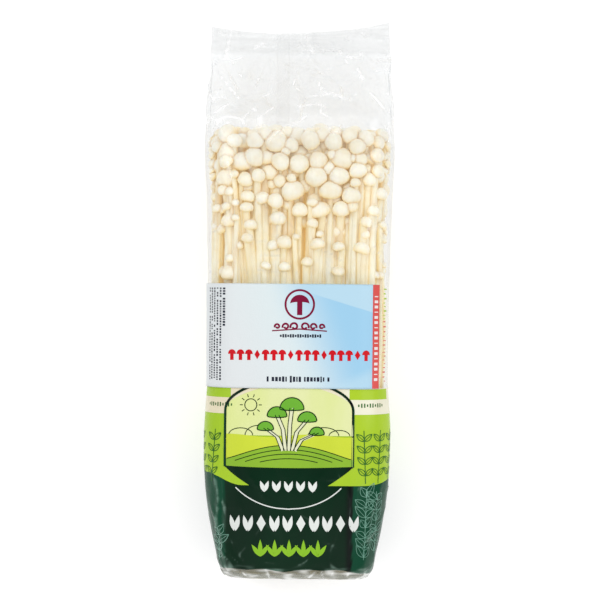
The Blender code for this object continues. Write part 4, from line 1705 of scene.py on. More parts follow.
        # Masks for the dark ink: a painted lighter green on the sides past the front panel, and a painted
        # dark shade along the fold at its right edge.
        low, high = self.panel_s
        past = np.maximum(ramp(s, high, high + 0.6), ramp(s, low, low - 1.0))
        fold_shade_in, fold_shade_out = ([high + gap for gap in gaps] for gaps in (self.fold_shade_in, self.fold_shade_out))
        return {
            "height": height * flat,
            "milk_and_glint": np.clip((milk_and_glint + self.least_milk_and_glint) * flat, 0.0, 1.0),
            "crumple": crumple * (self.least_crumple + (1.0 - self.least_crumple) * flat),
            "seal": seal + foot,
            "side": past * ramp(np.abs(s), *self.panel_fade),
            "fold": ramp(s, *fold_shade_in) * ramp(s, *fold_shade_out),
        }

    def lay(self, s: np.ndarray, y: np.ndarray, lift: float) -> tuple[np.ndarray, dict]:
        """Lays something printed on the wrinkled film.

        Args:
            s: Arc lengths from the front's middle.
            y: Places along the bag.
            lift: How far proud of the film.

        Returns:
            The points and the film's wrinkles there.
        """
        found = self.measure_apart(s, y)
        points, outward = self.form.place(s, y)
        return points + outward * (found.pop("height") + lift)[:, None], found

    def measure_apart(self, s: np.ndarray, y: np.ndarray) -> dict[str, np.ndarray]:
        """Measures places that don't lie in one row, band by band.

        Args:
            s: Arc lengths from the front's middle.
            y: Places along the bag.

        Returns:
            What measure gives.
        """
        rows = np.round(y / self.band)
        found: dict[str, np.ndarray] = {}
        for row in np.unique(rows):
            mask = rows == row
            for key, values in self.measure(s[mask], y[mask]).items():
                found.setdefault(key, np.zeros_like(s))[mask] = values
        return found


class Zone(Enum):
    """What is printed round the bag, by where each stretch ends going up."""

    CLEAR_FOOT = -100.0
    DARK_GREEN = -67.8
    LIGHT_GREEN = -41.4
    CLEAR = 110.0


@dataclass
class FilmBag:
    """The film tube with its seal, gathered foot and lap seam."""

    form: BagForm
    relief: FilmRelief
    steps: tuple[int, int, int] = (34, 22, 26)
    row_step: float = 0.75
    seam_x: float = -6.8
    seam_width: float = 5.0
    flap_half_width: float = 26.0
    flap_low_z: float = 8.0
    flap_high_z: float = 19.0
    flap_out_y: float = -105.7
    flap_gap: float = 0.6
    flap_out: float = 0.5
    flap_wave: Ripple = Ripple(0.35, 3.0, 8.0, 51.0)
    # The flap's milk-white streaks with painted white glints.
    flap_milk_and_glint: Ripple = Ripple(0.9, 2.9, 14.0, 53.0)
    flap_least_milk_and_glint: float = 0.15
    most_milk_and_glint: float = 0.8
    end_rings: int = 12
    end_reach: float = 10.0
    end_milk_and_glint_reach: float = 12.0
    end_pleats: tuple[Ripple, ...] = (Ripple(1.0, 2.4, 14.0, 41.0), Ripple(0.5, 6.0, 5.0, 43.0))
    end_pleat_depth: float = 0.55
    end_puff: tuple[float, float] = (0.7, 0.35)
    end_milk_and_glint: Ripple = Ripple(0.9, 3.1, 8.0, 47.0)
    end_least_milk_and_glint: float = 0.1
    end_crumple: float = 0.6
    end_seal: float = 0.3
    seam_step: float = 1.4
    seam_sink: float = 0.2
    seam_wave: Ripple = Ripple(0.12, 3.0, 6.0, 61.0)
    seam_edge: float = 0.5
    seam_milk_and_glint: float = 0.18
    seam_crumple: float = 0.1
    left_rise: float = 4.0
    right_rise: float = 1.8
    rise_reach: float = 8.0
    foot_edge: Ripple = Ripple(1.1, 9.0, 1.0, 81.0)
    foot_corner_drop: float = 2.0
    foot_edge_reach: float = 3.4

    def build(
        self,
        clear: Material,
        gathered: Material,
        foot: Material,
        lap: Material,
        inks: dict[Zone, Material],
    ) -> list[Object]:
        """Makes the film pieces.

        Args:
            clear: The clear film's material.
            gathered: The material of film in many layers.
            foot: The material of the gathered end's flat face.
            lap: The material of the lap seam's extra layer.
            inks: The printed zones' materials.

        Returns:
            The pieces.
        """
        zones = [gathered, inks[Zone.DARK_GREEN], inks[Zone.LIGHT_GREEN], clear]
        return [self._tube(zones), self._foot_end(foot), self._seam(lap)]

    def _print_tilt(self, s: np.ndarray, y: float) -> np.ndarray:
        """How much higher the print's edges run: up at both sides, and uneven at the foot.

        Args:
            s: Arc lengths round a ring.
            y: Where the ring is.

        Returns:
            The rise at each arc length.
        """
        rise = self.left_rise * ramp(s, -20.0, -34.0) + self.right_rise * ramp(s, 26.0, 40.0)
        rise *= ramp(np.abs(s), 96.0, 70.0)
        foot = self.foot_edge.at(s, 3.0)
        foot -= self.foot_corner_drop * ramp(s, 17.0, 26.0) * ramp(s, 60.0, 44.0)
        near_rise = math.exp(-(((y - Zone.DARK_GREEN.value) / self.rise_reach) ** 2))
        near_foot = math.exp(-(((y - Zone.CLEAR_FOOT.value) / self.foot_edge_reach) ** 2))
        return rise * near_rise + foot * near_foot

    def _ring_points(self, y: float) -> tuple[np.ndarray, np.ndarray, dict[str, np.ndarray]]:
        """A ring of the film.

        Args:
            y: Where the ring is.

        Returns:
            Its arc lengths, points and shading values.
        """
        s = self.form.ring(y, self.steps)
        rows = y + self._print_tilt(s, y)
        found = self.relief.measure(s, rows)
        points, outward = self.form.place(s, rows)
        points = points + outward * found.pop("height")[:, None]
        points[:, 2] = np.maximum(points[:, 2], 0.0)
        return s, points, found

    def _tube(self, materials: list[Material]) -> Object:
        """The tube from the foot's edge to the seal's edge.

        Args:
            materials: One for each zone.

        Returns:
            The piece.
        """
        ends = [self.form.foot_end_y, *(zone.value for zone in Zone)]
        ends[-1] = self.form.top_corner_y
        rows, zones = [], []
        for number, (low, high) in enumerate(zip(ends, ends[1:])):
            stretch = spread(low, high, self.row_step)
            rows += list(stretch[:-1])
            zones += [number] * (len(stretch) - 1)
        rows.append(ends[-1])
        rings = [self._ring_points(y) for y in rows]
        columns = len(rings[0][0])
        return make_piece(
            "film_tube",
            np.concatenate([points for _, points, _ in rings]),
            grid_faces(len(rows), columns, closed=True),
            materials,
            ["film_bag"],
            {key: np.concatenate([found[key] for _, _, found in rings]) for key in rings[0][2]},
            np.repeat(zones, columns),
        )

    def _foot_end(self, film: Material) -> Object:
        """The gathered end: folds run from the foot's edge in to a crinkled flap.

        Args:
            film: Its material.

        Returns:
            The piece.
        """
        s, edge, _ = self._ring_points(self.form.foot_end_y)
        middle_z = (self.flap_low_z + self.flap_high_z) / 2
        goal = edge.copy()
        goal[:, 0] = np.clip(edge[:, 0], -self.flap_half_width, self.flap_half_width)
        goal[:, 2] = middle_z + np.where(edge[:, 2] > middle_z, self.flap_gap, -self.flap_gap)
        shares = np.linspace(0.0, 1.0, self.end_rings)
        around, inward = np.tile(s, len(shares)), np.repeat(shares, len(s))
        points = np.concatenate([edge + (goal - edge) * share for share in shares])
        middle_puff, last_puff = self.end_puff
        puff = middle_puff * np.sin(inward * math.pi) + last_puff * inward
        fold = rippled(self.end_pleats, around, inward * self.end_reach)
        fold *= self.end_pleat_depth * np.minimum(1.0, inward * 4.0)
        points[:, 1] = np.maximum(self.form.foot_end_y - puff - fold, self.flap_out_y)
        # Milk-white streaks with painted white glints across the gathers, and on the flap below.
        milk_and_glint = self.end_least_milk_and_glint + self.end_milk_and_glint.at(around, inward * self.end_milk_and_glint_reach)
        flap_x = spread(-self.flap_half_width, self.flap_half_width, 0.8)
        flap_z = self.flap_low_z + (self.flap_high_z - self.flap_low_z) * spread(0.0, 1.0, 0.12)
        x, z = (grid.ravel() for grid in np.meshgrid(flap_x, flap_z))
        y = np.maximum(self.flap_out_y + self.flap_out + self.flap_wave.at(x, z), self.flap_out_y)
        faces = grid_faces(len(shares), len(s), closed=True)
        faces += grid_faces(len(flap_z), len(flap_x), first=len(points))
        milk_and_glint = np.concatenate([milk_and_glint, self.flap_least_milk_and_glint + self.flap_milk_and_glint.at(x, z)])
        values = {
            "milk_and_glint": np.clip(milk_and_glint, 0.0, self.most_milk_and_glint),
            "crumple": np.full_like(milk_and_glint, self.end_crumple),
            "seal": np.full_like(milk_and_glint, self.end_seal),
        }
        points = np.concatenate([points, np.stack([x, y, z], axis=-1)])
        return make_piece("film_foot_end", points, faces, [film], ["film_bag"], values)

    def _seam(self, film: Material) -> Object:
        """The lap seam down the bag's back, just inside it.

        Args:
            film: Its material.

        Returns:
            The piece.
        """
        rows = spread(self.form.foot_end_y + 1.0, self.form.top_corner_y - 1.0, self.seam_step)
        columns = spread(-self.seam_width / 2, self.seam_width / 2, 0.9)
        across, y = (grid.ravel() for grid in np.meshgrid(columns, rows))
        s = -(self.form.perimeter(y) / 2 - abs(self.seam_x) + across)
        points, outward = self.form.place(s, y)
        points = points - outward * (self.seam_sink + self.seam_wave.at(across, y))[:, None]
        # Milk-white lines with painted glints along the seam's edges.
        values = {
            "milk_and_glint": self.seam_milk_and_glint * (np.abs(across) > self.seam_width / 2 - self.seam_edge),
            "crumple": np.full_like(across, self.seam_crumple),
        }
        faces = grid_faces(len(rows), len(columns))
        return make_piece("film_lap_seam", points, faces, [film], ["film_bag"], values)


# Printed marks


def arc(
    x: float, y: float, wide: float, high: float, count: int, sweep: float = math.pi
) -> np.ndarray:
    """Points of an oval's edge of these half sizes, from its right end round by its top."""
    turns = np.linspace(0.0, sweep, count)
    return np.stack([x + wide * np.cos(turns), y + high * np.sin(turns)], axis=-1)


class Stencil:
    """Flat shapes in one ink, gathered as points across and along a sheet, then laid on it."""

    def __init__(self, step: float = 0.8) -> None:
        """Starts empty.

        Args:
            step: The longest step along an edge, in mm.
        """
        self.step = step
        self.points: list[tuple[float, float]] = []
        self.faces: list[tuple[int, ...]] = []

    def ladder(self, left: np.ndarray, right: np.ndarray, columns: int = 1) -> "Stencil":
        """Fills between two edges of the same number of points.

        Args:
            left: One edge's points, one row each.
            right: The other edge's points.
            columns: How many strips between them.

        Returns:
            This stencil.
        """
        first = len(self.points)
        shares = np.linspace(0.0, 1.0, columns + 1)
        for p, q in zip(left, right):
            self.points += [tuple(p + (q - p) * share) for share in shares]
        self.faces += grid_faces(len(left), columns + 1, first=first)
        return self

    def stroke(self, path: Sequence[tuple[float, float]], width: float) -> "Stencil":
        """A line of even width.

        Args:
            path: The points that it runs through.
            width: Its width.

        Returns:
            This stencil.
        """
        places = np.array(path, dtype=float)
        runs = np.concatenate([[0.0], np.cumsum(np.hypot(*np.diff(places, axis=0).T))])
        at = spread(0.0, runs[-1], self.step)
        line = np.stack([np.interp(at, runs, places[:, 0]), np.interp(at, runs, places[:, 1])], axis=-1)
        along = np.gradient(line, axis=0)
        along /= np.maximum(np.linalg.norm(along, axis=1), 1e-9)[:, None]
        side = np.stack([-along[:, 1], along[:, 0]], axis=-1) * width / 2
        return self.ladder(line - side, line + side)

    def ring(self, x: float, y: float, radius: float, width: float) -> "Stencil":
        """A round line of this radius and width."""
        count = max(12, int(math.tau * radius / self.step))
        return self.stroke(arc(x, y, radius, radius, count + 1, math.tau), width)

    def strip(self, x: float, rows: np.ndarray, half: np.ndarray | float, columns: int) -> "Stencil":
        """Fills half mm to both sides of x, along these rows."""
        left, right = (np.stack([x + side * half + 0 * rows, rows], axis=-1) for side in (-1, 1))
        return self.ladder(left, right, columns)

    def bar(self, x: float, y: float, wide: float, high: float) -> "Stencil":
        """A filled rectangle of these half sizes."""
        columns = max(1, int(2 * wide / self.step))
        return self.strip(x, spread(y - high, y + high, self.step), wide, columns)

    def lozenge(self, x: float, y: float, wide: float, high: float) -> "Stencil":
        """A filled lozenge of these half sizes."""
        rows = spread(-1.0, 1.0, 0.25)
        return self.strip(x, y + high * rows, wide * (1 - np.abs(rows)), 3)

    def leaf(
        self, x: float, y: float, length: float, wide: float, turn: float, outline: float = 0.0
    ) -> "Stencil":
        """A pointed leaf.

        Args:
            x: Its stalk's place across.
            y: Its stalk's place along.
            length: Its length.
            wide: Its half width.
            turn: How far it is turned from +Y, in radians.
            outline: The width of its outline and midrib, or 0 for a filled leaf.

        Returns:
            This stencil.
        """
        t = np.linspace(0.0, 1.0, max(8, int(length / self.step) + 4))
        half = wide * np.sin(math.pi * t) ** 0.9 * (1.15 - 0.4 * t)
        ahead = np.array([math.sin(turn), math.cos(turn)])
        side = np.array([math.cos(turn), -math.sin(turn)])
        middle = np.array([x, y]) + np.outer(t * length, ahead)
        left, right = middle - np.outer(half, side), middle + np.outer(half, side)
        if not outline:
            return self.ladder(left, right, 3)
        self.stroke(left, outline)
        self.stroke(right, outline)
        return self.stroke([middle[0], middle[-2]], outline * 0.8)

    def leaf_pair(
        self,
        x: float,
        y: float,
        length: float,
        wide: float,
        turn: float,
        outline: float = 0.0,
        apart: float = 0.0,
    ) -> "Stencil":
        """Two leaves turned by turn to the left and to the right, each apart mm from x."""
        self.leaf(x - apart, y, length, wide, -turn, outline)
        return self.leaf(x + apart, y, length, wide, turn, outline)

    def put(
        self,
        name: str,
        ink: Material,
        slot: Slot,
        lay: Callable[[np.ndarray, np.ndarray, float], tuple[np.ndarray, dict[str, np.ndarray]]],
        lift: float,
    ) -> Object:
        """Lays the shapes on a sheet as one piece.

        Args:
            name: The piece's name.
            ink: Its material.
            slot: The record's slot; not used.
            lay: Gives points on the sheet, and their shading values, for places across and along it.
            lift: How far proud of the sheet, in mm.

        Returns:
            The piece.
        """
        flat = np.array(self.points)
        faces = []
        for face in self.faces:
            x, y = flat[list(face)].T
            area = np.dot(x, np.roll(y, -1)) - np.dot(y, np.roll(x, -1))
            faces.append(face if area > 0 else face[::-1])
        points, found = lay(flat[:, 0], flat[:, 1], lift)
        return make_piece(name, points, faces, [ink], values=found)


@dataclass
class BagPrint:
    """Generic marks printed on the bag: a window with a mushroom clump, sprigs and ornament rows."""

    relief: FilmRelief
    window_x: float = -3.0
    window_half: float = 23.4
    window_top_y: float = -29.5
    window_spring_y: float = -40.5
    window_low_y: float = -61.0
    window_tip_y: float = -76.5
    arch_drop: float = 10.8
    arch_round: float = 0.97
    horizon_y: float = -49.5
    field_low_y: float = -58.5
    mound_y: float = -58.2
    mound_rise: float = 5.2
    mound_sag: float = 0.6
    bowl_depth: float = 15.0
    outline: float = 0.95
    rim_drop: float = 7.6
    rim_width: float = 0.42
    fine: float = 0.3
    pale_band: tuple = (0.0, -37.0, 45.0, 4.7)
    corner_bands: tuple = ((-33.0, -33.9, 8.6, 1.9), (27.4, -34.4, 8.4, 1.9))
    contours: tuple = ((0.0, 0.97), (1.6, 0.84), (3.2, 0.68), (4.9, 0.45))
    hills: tuple = ((-20.6, 4.4, 2.6), (-14.0, 5.0, 3.6), (9.6, 5.6, 3.0), (15.4, 3.8, 2.0))
    sun: tuple[float, float] = (-17.0, -38.4)
    sun_radius: float = 2.2
    sun_rays: tuple[float, float] = (2.9, 4.0)
    sun_ray_count: int = 10
    clump_y: float = -55.0
    clump: tuple = (
        (-2.2, -8.6, 8.2, 3.0), (-1.2, -4.4, 13.0, 3.6), (0.0, 1.0, 15.6, 4.4),
        (1.2, 6.6, 11.4, 3.5), (2.2, 10.2, 6.6, 2.7),
    )
    stalk_width: float = 1.3
    side_sprigs: tuple = (
        (-32.5, 0.12), (-39.0, -0.1), (25.2, -0.05), (30.5, 0.05), (36.5, 0.1), (62.0, 0.1), (-64.0, 0.1),
    )
    side_sprig_y: float = -64.0
    side_sprig_pitch: float = 4.2
    row_x: float = -22.6
    row_y: float = -81.9
    row_pitch: float = 4.85
    small_row_y: float = -70.2
    small_row_pitch: float = 4.4
    fan_x: float = -13.2
    fan_y: float = -94.6
    fan_pitch: float = 5.3
    fan: tuple = ((-0.6, 5.6), (0.0, 6.6), (0.6, 5.6))
    shoulder_sprigs: tuple = (
        (25.2, -96.0, -69.0, 0.02), (31.0, -94.0, -70.0, -0.05), (-30.5, -97.0, -84.0, 0.1),
    )
    dash_starts: tuple[float, float] = (-34.0, 22.4)
    dash_y: float = -38.4
    edge_x: tuple[float, float] = (33.4, 34.4)

    def build(self, inks: dict[str, Material]) -> list[Object]:
        """Makes the printed pieces.

        Args:
            inks: The inks by name.

        Returns:
            The pieces.
        """
        t = spread(-1.0, 1.0, 0.04)
        top = self.window_top_y - self.arch_drop * (1 - np.sqrt(1 - self.arch_round * t * t))
        field_top = self.horizon_y + 0.5 * np.sin(5 * t)
        bowl_low = self.window_low_y - self.bowl_depth * (1 - np.abs(t) ** 1.8)
        sky, meadow = self._between(t, self.horizon_y, top), self._between(t, self.field_low_y, field_top)
        mound = self._between(t, self._mound_foot(t), self._mound_top(t))
        bowl = self._between(t, bowl_low, self.window_low_y)
        corners = Stencil()
        for band in self.corner_bands:
            corners.bar(*band)
        caps, stalks, lines = self._clump()
        marks = (
            ("print_pale_band", "pale", Stencil(0.9).bar(*self.pale_band), 0.06),
            ("print_corner_bands", "light", corners, 0.10),
            ("print_window_bowl", "dark", bowl, 0.08),
            ("print_window_sky", "window", sky, 0.10),
            ("print_window_field", "field", meadow, 0.13),
            ("print_window_mound", "mound", mound, 0.16),
            ("print_window_edge", "dark", self._edge(), 0.19),
            ("print_window_lines", "dark", self._scenery_lines(), 0.18),
            ("print_window_rim", "white", self._rim(), 0.12),
            ("print_clump_caps", "cap_green", caps, 0.20),
            ("print_clump_stalks", "cream", stalks, 0.19),
            ("print_clump_lines", "dark", lines, 0.24),
            ("print_side_sprigs", "line_green", self._side_sprigs(), 0.10),
            ("print_ornaments", "white", self._ornaments(), 0.10),
            ("print_leaf_row", "lime", self._leaf_row(), 0.10),
            ("print_shoulder_sprigs", "pale_line", self._shoulder_sprigs(), 0.10),
            ("print_side_marks", "line_green", self._side_marks(), 0.10),
            ("print_edge_marks_green", "light", self._edge_marks(-7.0, 4.0), 0.10),
            ("print_edge_marks_red", "line_red", self._edge_marks(-30.0, -8.0), 0.10),
        )
        lay = self.relief.lay
        return [mark.put(name, inks[ink], Slot.FILM, lay, lift) for name, ink, mark, lift in marks]

    def _half_at(self, y: np.ndarray) -> np.ndarray:
        """Half the window's width: an arch above, straight sides, a bowl below.

        Args:
            y: Places along the bag.

        Returns:
            The half width at each of them.
        """
        arch = np.clip((y - self.window_spring_y) / (self.window_top_y - self.window_spring_y), 0.0, 1.0)
        bowl = np.clip((self.window_low_y - y) / (self.window_low_y - self.window_tip_y), 0.0, 1.0)
        return self.window_half * np.sqrt(1 - arch**2) * np.sqrt(1 - bowl**1.6)

    def _between(self, t: np.ndarray, low: np.ndarray | float, high: np.ndarray | float) -> Stencil:
        """Fills the window between two lines.

        Args:
            t: Shares from -1 to 1 across it.
            low: The lower line's height at each share, or one for them all.
            high: The upper line's.

        Returns:
            The stencil.
        """
        edges = []
        for y in (low + 0 * t, high + 0 * t):
            edges.append(np.stack([self.window_x + t * self._half_at(y), y], axis=-1))
        return Stencil().ladder(edges[0], edges[1], 14)

    def _mound_top(self, t: np.ndarray) -> np.ndarray:
        """The mound's upper line at shares from -1 to 1 across the window."""
        return self.mound_y + self.mound_rise * (1 - t * t) ** 1.3

    def _mound_foot(self, t: np.ndarray) -> np.ndarray:
        """The mound's lower line at shares from -1 to 1 across the window."""
        return self.window_low_y - self.mound_sag * (1 - t * t)

    def _scenery_lines(self) -> Stencil:
        """Fine lines in the window: contours on the mound, low hills behind it and a rayed sun.

        Returns:
            The stencil.
        """
        stencil = Stencil(0.6)
        for drop, reach in self.contours:
            t = spread(-reach, reach, 0.05)
            line = list(zip(self.window_x + t * self.window_half, self._mound_top(t) - drop))
            stencil.stroke(line, self.fine)
        for x, wide, high in self.hills:
            stencil.stroke(arc(x, self.horizon_y + 0.1, wide, high, 16), self.fine)
        x, y = self.sun
        stencil.ring(x, y, self.sun_radius, 0.32)
        for turn in np.linspace(0.0, math.tau, self.sun_ray_count + 1)[:-1]:
            ray = [(x + far * math.cos(turn), y + far * math.sin(turn)) for far in self.sun_rays]
            stencil.stroke(ray, self.fine)
        return stencil

    def _edge(self) -> Stencil:
        """The window's dark outline down to the mound, and the line under the mound.

        Returns:
            The stencil.
        """
        y = spread(self.window_top_y, self.window_low_y, 0.7)
        half = self._half_at(y)
        stencil = Stencil(0.6)
        for side in (-1, 1):
            stencil.stroke(list(zip(self.window_x + side * half, y)), self.outline)
        t = spread(-1.0, 1.0, 0.05)
        foot = list(zip(self.window_x + t * self.window_half, self._mound_foot(t)))
        return stencil.stroke(foot, 2 * self.fine)

    def _rim(self) -> Stencil:
        """The pale rim round the bowl.

        Returns:
            The stencil.
        """
        y = spread(self.window_low_y - self.rim_drop, self.window_tip_y, 0.3)
        left, right = (list(zip(self.window_x + side * self._half_at(y), y)) for side in (-1, 1))
        return Stencil(0.6).stroke(left + right[::-1], self.rim_width)

    def _clump(self) -> tuple[Stencil, Stencil, Stencil]:
        """The pictured clump of mushrooms.

        Returns:
            Its caps, its stalks and their outlines.
        """
        x, y = self.window_x, self.clump_y
        caps, stalks, lines = Stencil(0.5), Stencil(0.5), Stencil(0.5)
        for foot, cap_x, cap_y, half in self.clump:
            bend = (x + foot + (cap_x - foot) * 0.3, y + cap_y * 0.6)
            path = [(x + foot, y), bend, (x + cap_x, y + cap_y)]
            stalks.stroke(path, self.stalk_width)
            for side in (-0.68, 0.68):
                lines.stroke([(px + side, py) for px, py in path], self.fine)
            over, under = (arc(x + cap_x, y + cap_y - 0.4, half, high, 22) for high in (half * 0.95, -0.5))
            caps.ladder(under, over, 5)
            lines.stroke([*over, *under[::-1]], 0.38)
        return caps, stalks, lines

    def _side_sprigs(self) -> Stencil:
        """Thin leafy sprigs on the light green at both sides.

        Returns:
            The stencil.
        """
        stencil = Stencil(0.6)
        for middle, lean in self.side_sprigs:
            for k in range(4):
                rise = self.side_sprig_pitch * k
                stencil.leaf_pair(middle + lean * rise, self.side_sprig_y + rise, 3.9, 0.95, 0.85, self.fine)
            top = (middle + lean * 17.0, self.side_sprig_y + 16.5)
            stencil.stroke([(middle, self.side_sprig_y - 3.0), top], 0.32)
        return stencil

    def _ornaments(self) -> Stencil:
        """A bold row of leaf pairs and lozenges, and a small row in the bowl above it.

        Returns:
            The stencil.
        """
        stencil = Stencil(0.7)
        for k in range(10):
            x = self.row_x + self.row_pitch * k
            if k % 3 == 2:
                stencil.lozenge(x, self.row_y, 1.7, 3.1)
            else:
                stencil.leaf_pair(x, self.row_y - 3.1, 6.2, 0.95, 0.22, apart=0.25)
        for k in range(-2, 3):
            x = self.window_x + self.small_row_pitch * k
            stencil.leaf_pair(x, self.small_row_y, 4.4, 0.8, -0.35)
        return stencil

    def _leaf_row(self) -> Stencil:
        """A row of small fans of leaves below the ornaments.

        Returns:
            The stencil.
        """
        stencil = Stencil(0.7)
        for k in range(5):
            for turn, length in self.fan:
                stencil.leaf(self.fan_x + self.fan_pitch * k, self.fan_y, length, 0.85, turn)
        return stencil

    def _shoulder_sprigs(self) -> Stencil:
        """Pale line sprigs on the dark green at the shoulders.

        Returns:
            The stencil.
        """
        stencil = Stencil(0.6)
        for x, low, high, lean in self.shoulder_sprigs:
            tip = (x + lean * (high - low), high)
            stencil.stroke([(x, low), (x + lean * 12, (low + high) / 2), tip], 0.22)
            for k, y in enumerate(spread(low + 1.0, high - 3.0, 4.2)):
                for side in (-1, 1):
                    length = 3.6 + 0.8 * ((3 * k + side) % 4)
                    turn = side * (0.55 + 0.2 * (k % 3))
                    stencil.leaf(x + lean * (y - low), y, length, 1.4, turn, 0.2)
        return stencil

    def _edge_marks(self, low: float, high: float) -> Stencil:
        """Fine marks up the clear film just right of the label.

        Args:
            low: Where they start along the bag.
            high: Where they end.

        Returns:
            The stencil.
        """
        stencil = Stencil(0.5)
        rng = random.Random(int(high))
        y = low
        while y < high:
            length = rng.uniform(0.25, 0.6)
            stencil.bar(rng.uniform(*self.edge_x), y + length, rng.uniform(0.5, 1.1), length * 0.5)
            y += 2 * length + 0.7
        return stencil

    def _side_marks(self) -> Stencil:
        """Rows of fine dashes in the clear strips beside the window.

        Returns:
            The stencil.
        """
        stencil = Stencil(0.5)
        for start in self.dash_starts:
            for k in range(10):
                stencil.bar(start + 1.1 * k, self.dash_y, 0.27, 0.75 if k % 3 else 0.45)
        return stencil


# The label


@dataclass
class FrontLabel:
    """The label stuck across the front and round the left edge, with generic marks."""

    form: BagForm
    low_y: float = -32.3
    high_y: float = 5.9
    left_s: float = -42.0
    right_s: float = 30.2
    under: float = 0.42
    thickness: float = 0.14
    step: float = 0.9
    ripples: tuple[Ripple, ...] = (Ripple(0.09, 14.0, 12.0, 71.0), Ripple(0.03, 4.0, 5.0, 73.0))
    ink_lift: float = 0.04
    strip_inset: float = 1.5
    strip_half: float = 1.45
    strip_margin: float = 0.05
    tick_pitch: float = 1.9
    emblem: tuple[float, float] = (0.5, -1.6)
    emblem_radius: float = 5.2
    cap_half: float = 3.5
    curl_y: float = -9.7
    curl_sizes: tuple[float, ...] = (1.5, 1.25, 1.0)
    title_x: float = 0.4
    title_y: float = -20.0
    title_pitch: float = 3.05
    title_count: int = 17
    short_row: tuple[float, float] = (0.9, -13.1)
    low_row: tuple[float, float, float] = (-11.3, 12.0, -28.9)
    column_s: float = -27.2
    column_pitch: float = 1.42

    def lay(self, s: np.ndarray, y: np.ndarray, lift: float) -> tuple[np.ndarray, dict]:
        """Lays something on the label, with no wrinkles to shade.

        Args:
            s: Arc lengths from the front's middle.
            y: Places along the bag.
            lift: How far above the label's underside.

        Returns:
            The points and their shading values.
        """
        points, outward = self.form.place(s, y)
        rise = self.under + lift + rippled(self.ripples, s, y)
        return points + outward * rise[:, None], {"crumple": np.zeros_like(s)}

    def build(self, paper: Material, inks: dict[str, Material]) -> list[Object]:
        """Makes the label and its marks.

        Args:
            paper: The label's material.
            inks: The inks by name.

        Returns:
            The pieces.
        """
        pieces = [self._sheet(paper)]
        lift = self.thickness + self.ink_lift
        for name, ink, stencil in (
            ("label_strip", "red", self._strip()),
            ("label_strip_ticks", "white", self._strip_ticks()),
            ("label_emblem", "maroon", self._emblem()),
            ("label_title_row", "title_red", self._title_row()),
            ("label_small_marks", "ink_dark", self._small_marks()),
        ):
            over = self.ink_lift if name == "label_strip_ticks" else 0.0
            pieces.append(stencil.put(name, inks[ink], Slot.LABEL, self.lay, lift + over))
        return pieces

    def _sheet(self, paper: Material) -> Object:
        """The label as a thin closed sheet.

        Args:
            paper: Its material.

        Returns:
            The piece.
        """
        columns = spread(self.left_s, self.right_s, self.step)
        rows = spread(self.low_y, self.high_y, self.step)
        s, y = (grid.ravel() for grid in np.meshgrid(columns, rows))
        over, under = (self.lay(s, y, lift)[0] for lift in (self.thickness, 0.0))
        count = len(s)
        faces = grid_faces(len(rows), len(columns))
        faces += [tuple(count + n for n in reversed(face)) for face in faces]
        wide = len(columns)
        last = (len(rows) - 1) * wide
        edge = list(range(wide)) + [wide * (j + 1) - 1 for j in range(1, len(rows))]
        edge += [last + i for i in range(wide - 2, -1, -1)] + [wide * j for j in range(len(rows) - 2, 0, -1)]
        for p, q in zip(edge, edge[1:] + edge[:1]):
            faces.append((q, p, count + p, count + q))
        return make_piece(
            "label_sheet",
            np.concatenate([over, under]),
            faces,
            [paper],
            ["front_label"],
            {"across": np.tile(s, 2), "along": np.tile(y, 2)},
        )

    def _strip(self) -> Stencil:
        """The red strip along the right edge."""
        middle = (self.low_y + self.high_y) / 2
        half = (self.high_y - self.low_y) / 2 - self.strip_margin
        return Stencil().bar(self.right_s - self.strip_inset, middle, self.strip_half, half)

    def _strip_ticks(self) -> Stencil:
        """Pale ticks down the red strip.

        Returns:
            The stencil.
        """
        stencil = Stencil(0.4)
        for k in range(17):
            y = self.high_y - 4.4 - self.tick_pitch * k
            stencil.bar(self.right_s - self.strip_inset, y, 0.75, 0.2 + 0.3 * (k % 3 > 0))
        return stencil

    def _emblem(self) -> Stencil:
        """A plain ring with a small mushroom in it, and a flourish below.

        Returns:
            The stencil.
        """
        stencil = Stencil(0.4)
        x, y = self.emblem
        stencil.ring(x, y, self.emblem_radius, 0.75)
        over, under = (arc(x, y + 0.2, self.cap_half, high, 24) for high in (3.3, 0.7))
        stencil.ladder(under, over, 4).bar(x, y - 1.5, 0.95, 2.4)
        turns, shrinks = np.linspace(-0.4, math.tau * 0.95, 30), np.linspace(1.0, 0.45, 30)
        for side in (-1, 1):
            for k, size in enumerate(self.curl_sizes):
                across = x + side * (1.9 + 3.1 * k) + side * size * shrinks * np.cos(turns)
                stencil.stroke(list(zip(across, self.curl_y + size * shrinks * np.sin(turns))), 0.72)
        low = self.curl_y - 1.6
        return stencil.stroke([(x - 10.0, low), (x, low + 0.7), (x + 10.0, low)], 0.45)

    def _title_row(self) -> Stencil:
        """A bold red row of small mushrooms and lozenges across the label.

        Returns:
            The stencil.
        """
        stencil = Stencil(0.5)
        y = self.title_y
        for k in range(self.title_count):
            x = self.title_x + self.title_pitch * (k - self.title_count // 2)
            if k % 4 == 3:
                stencil.lozenge(x, y, 1.0, 1.7)
                continue
            over, under = (arc(x, y + 0.1, 1.42, high, 14) for high in (1.7, 0.0))
            stencil.ladder(under, over, 3).bar(x, y - 0.9, 0.62, 1.2)
        return stencil

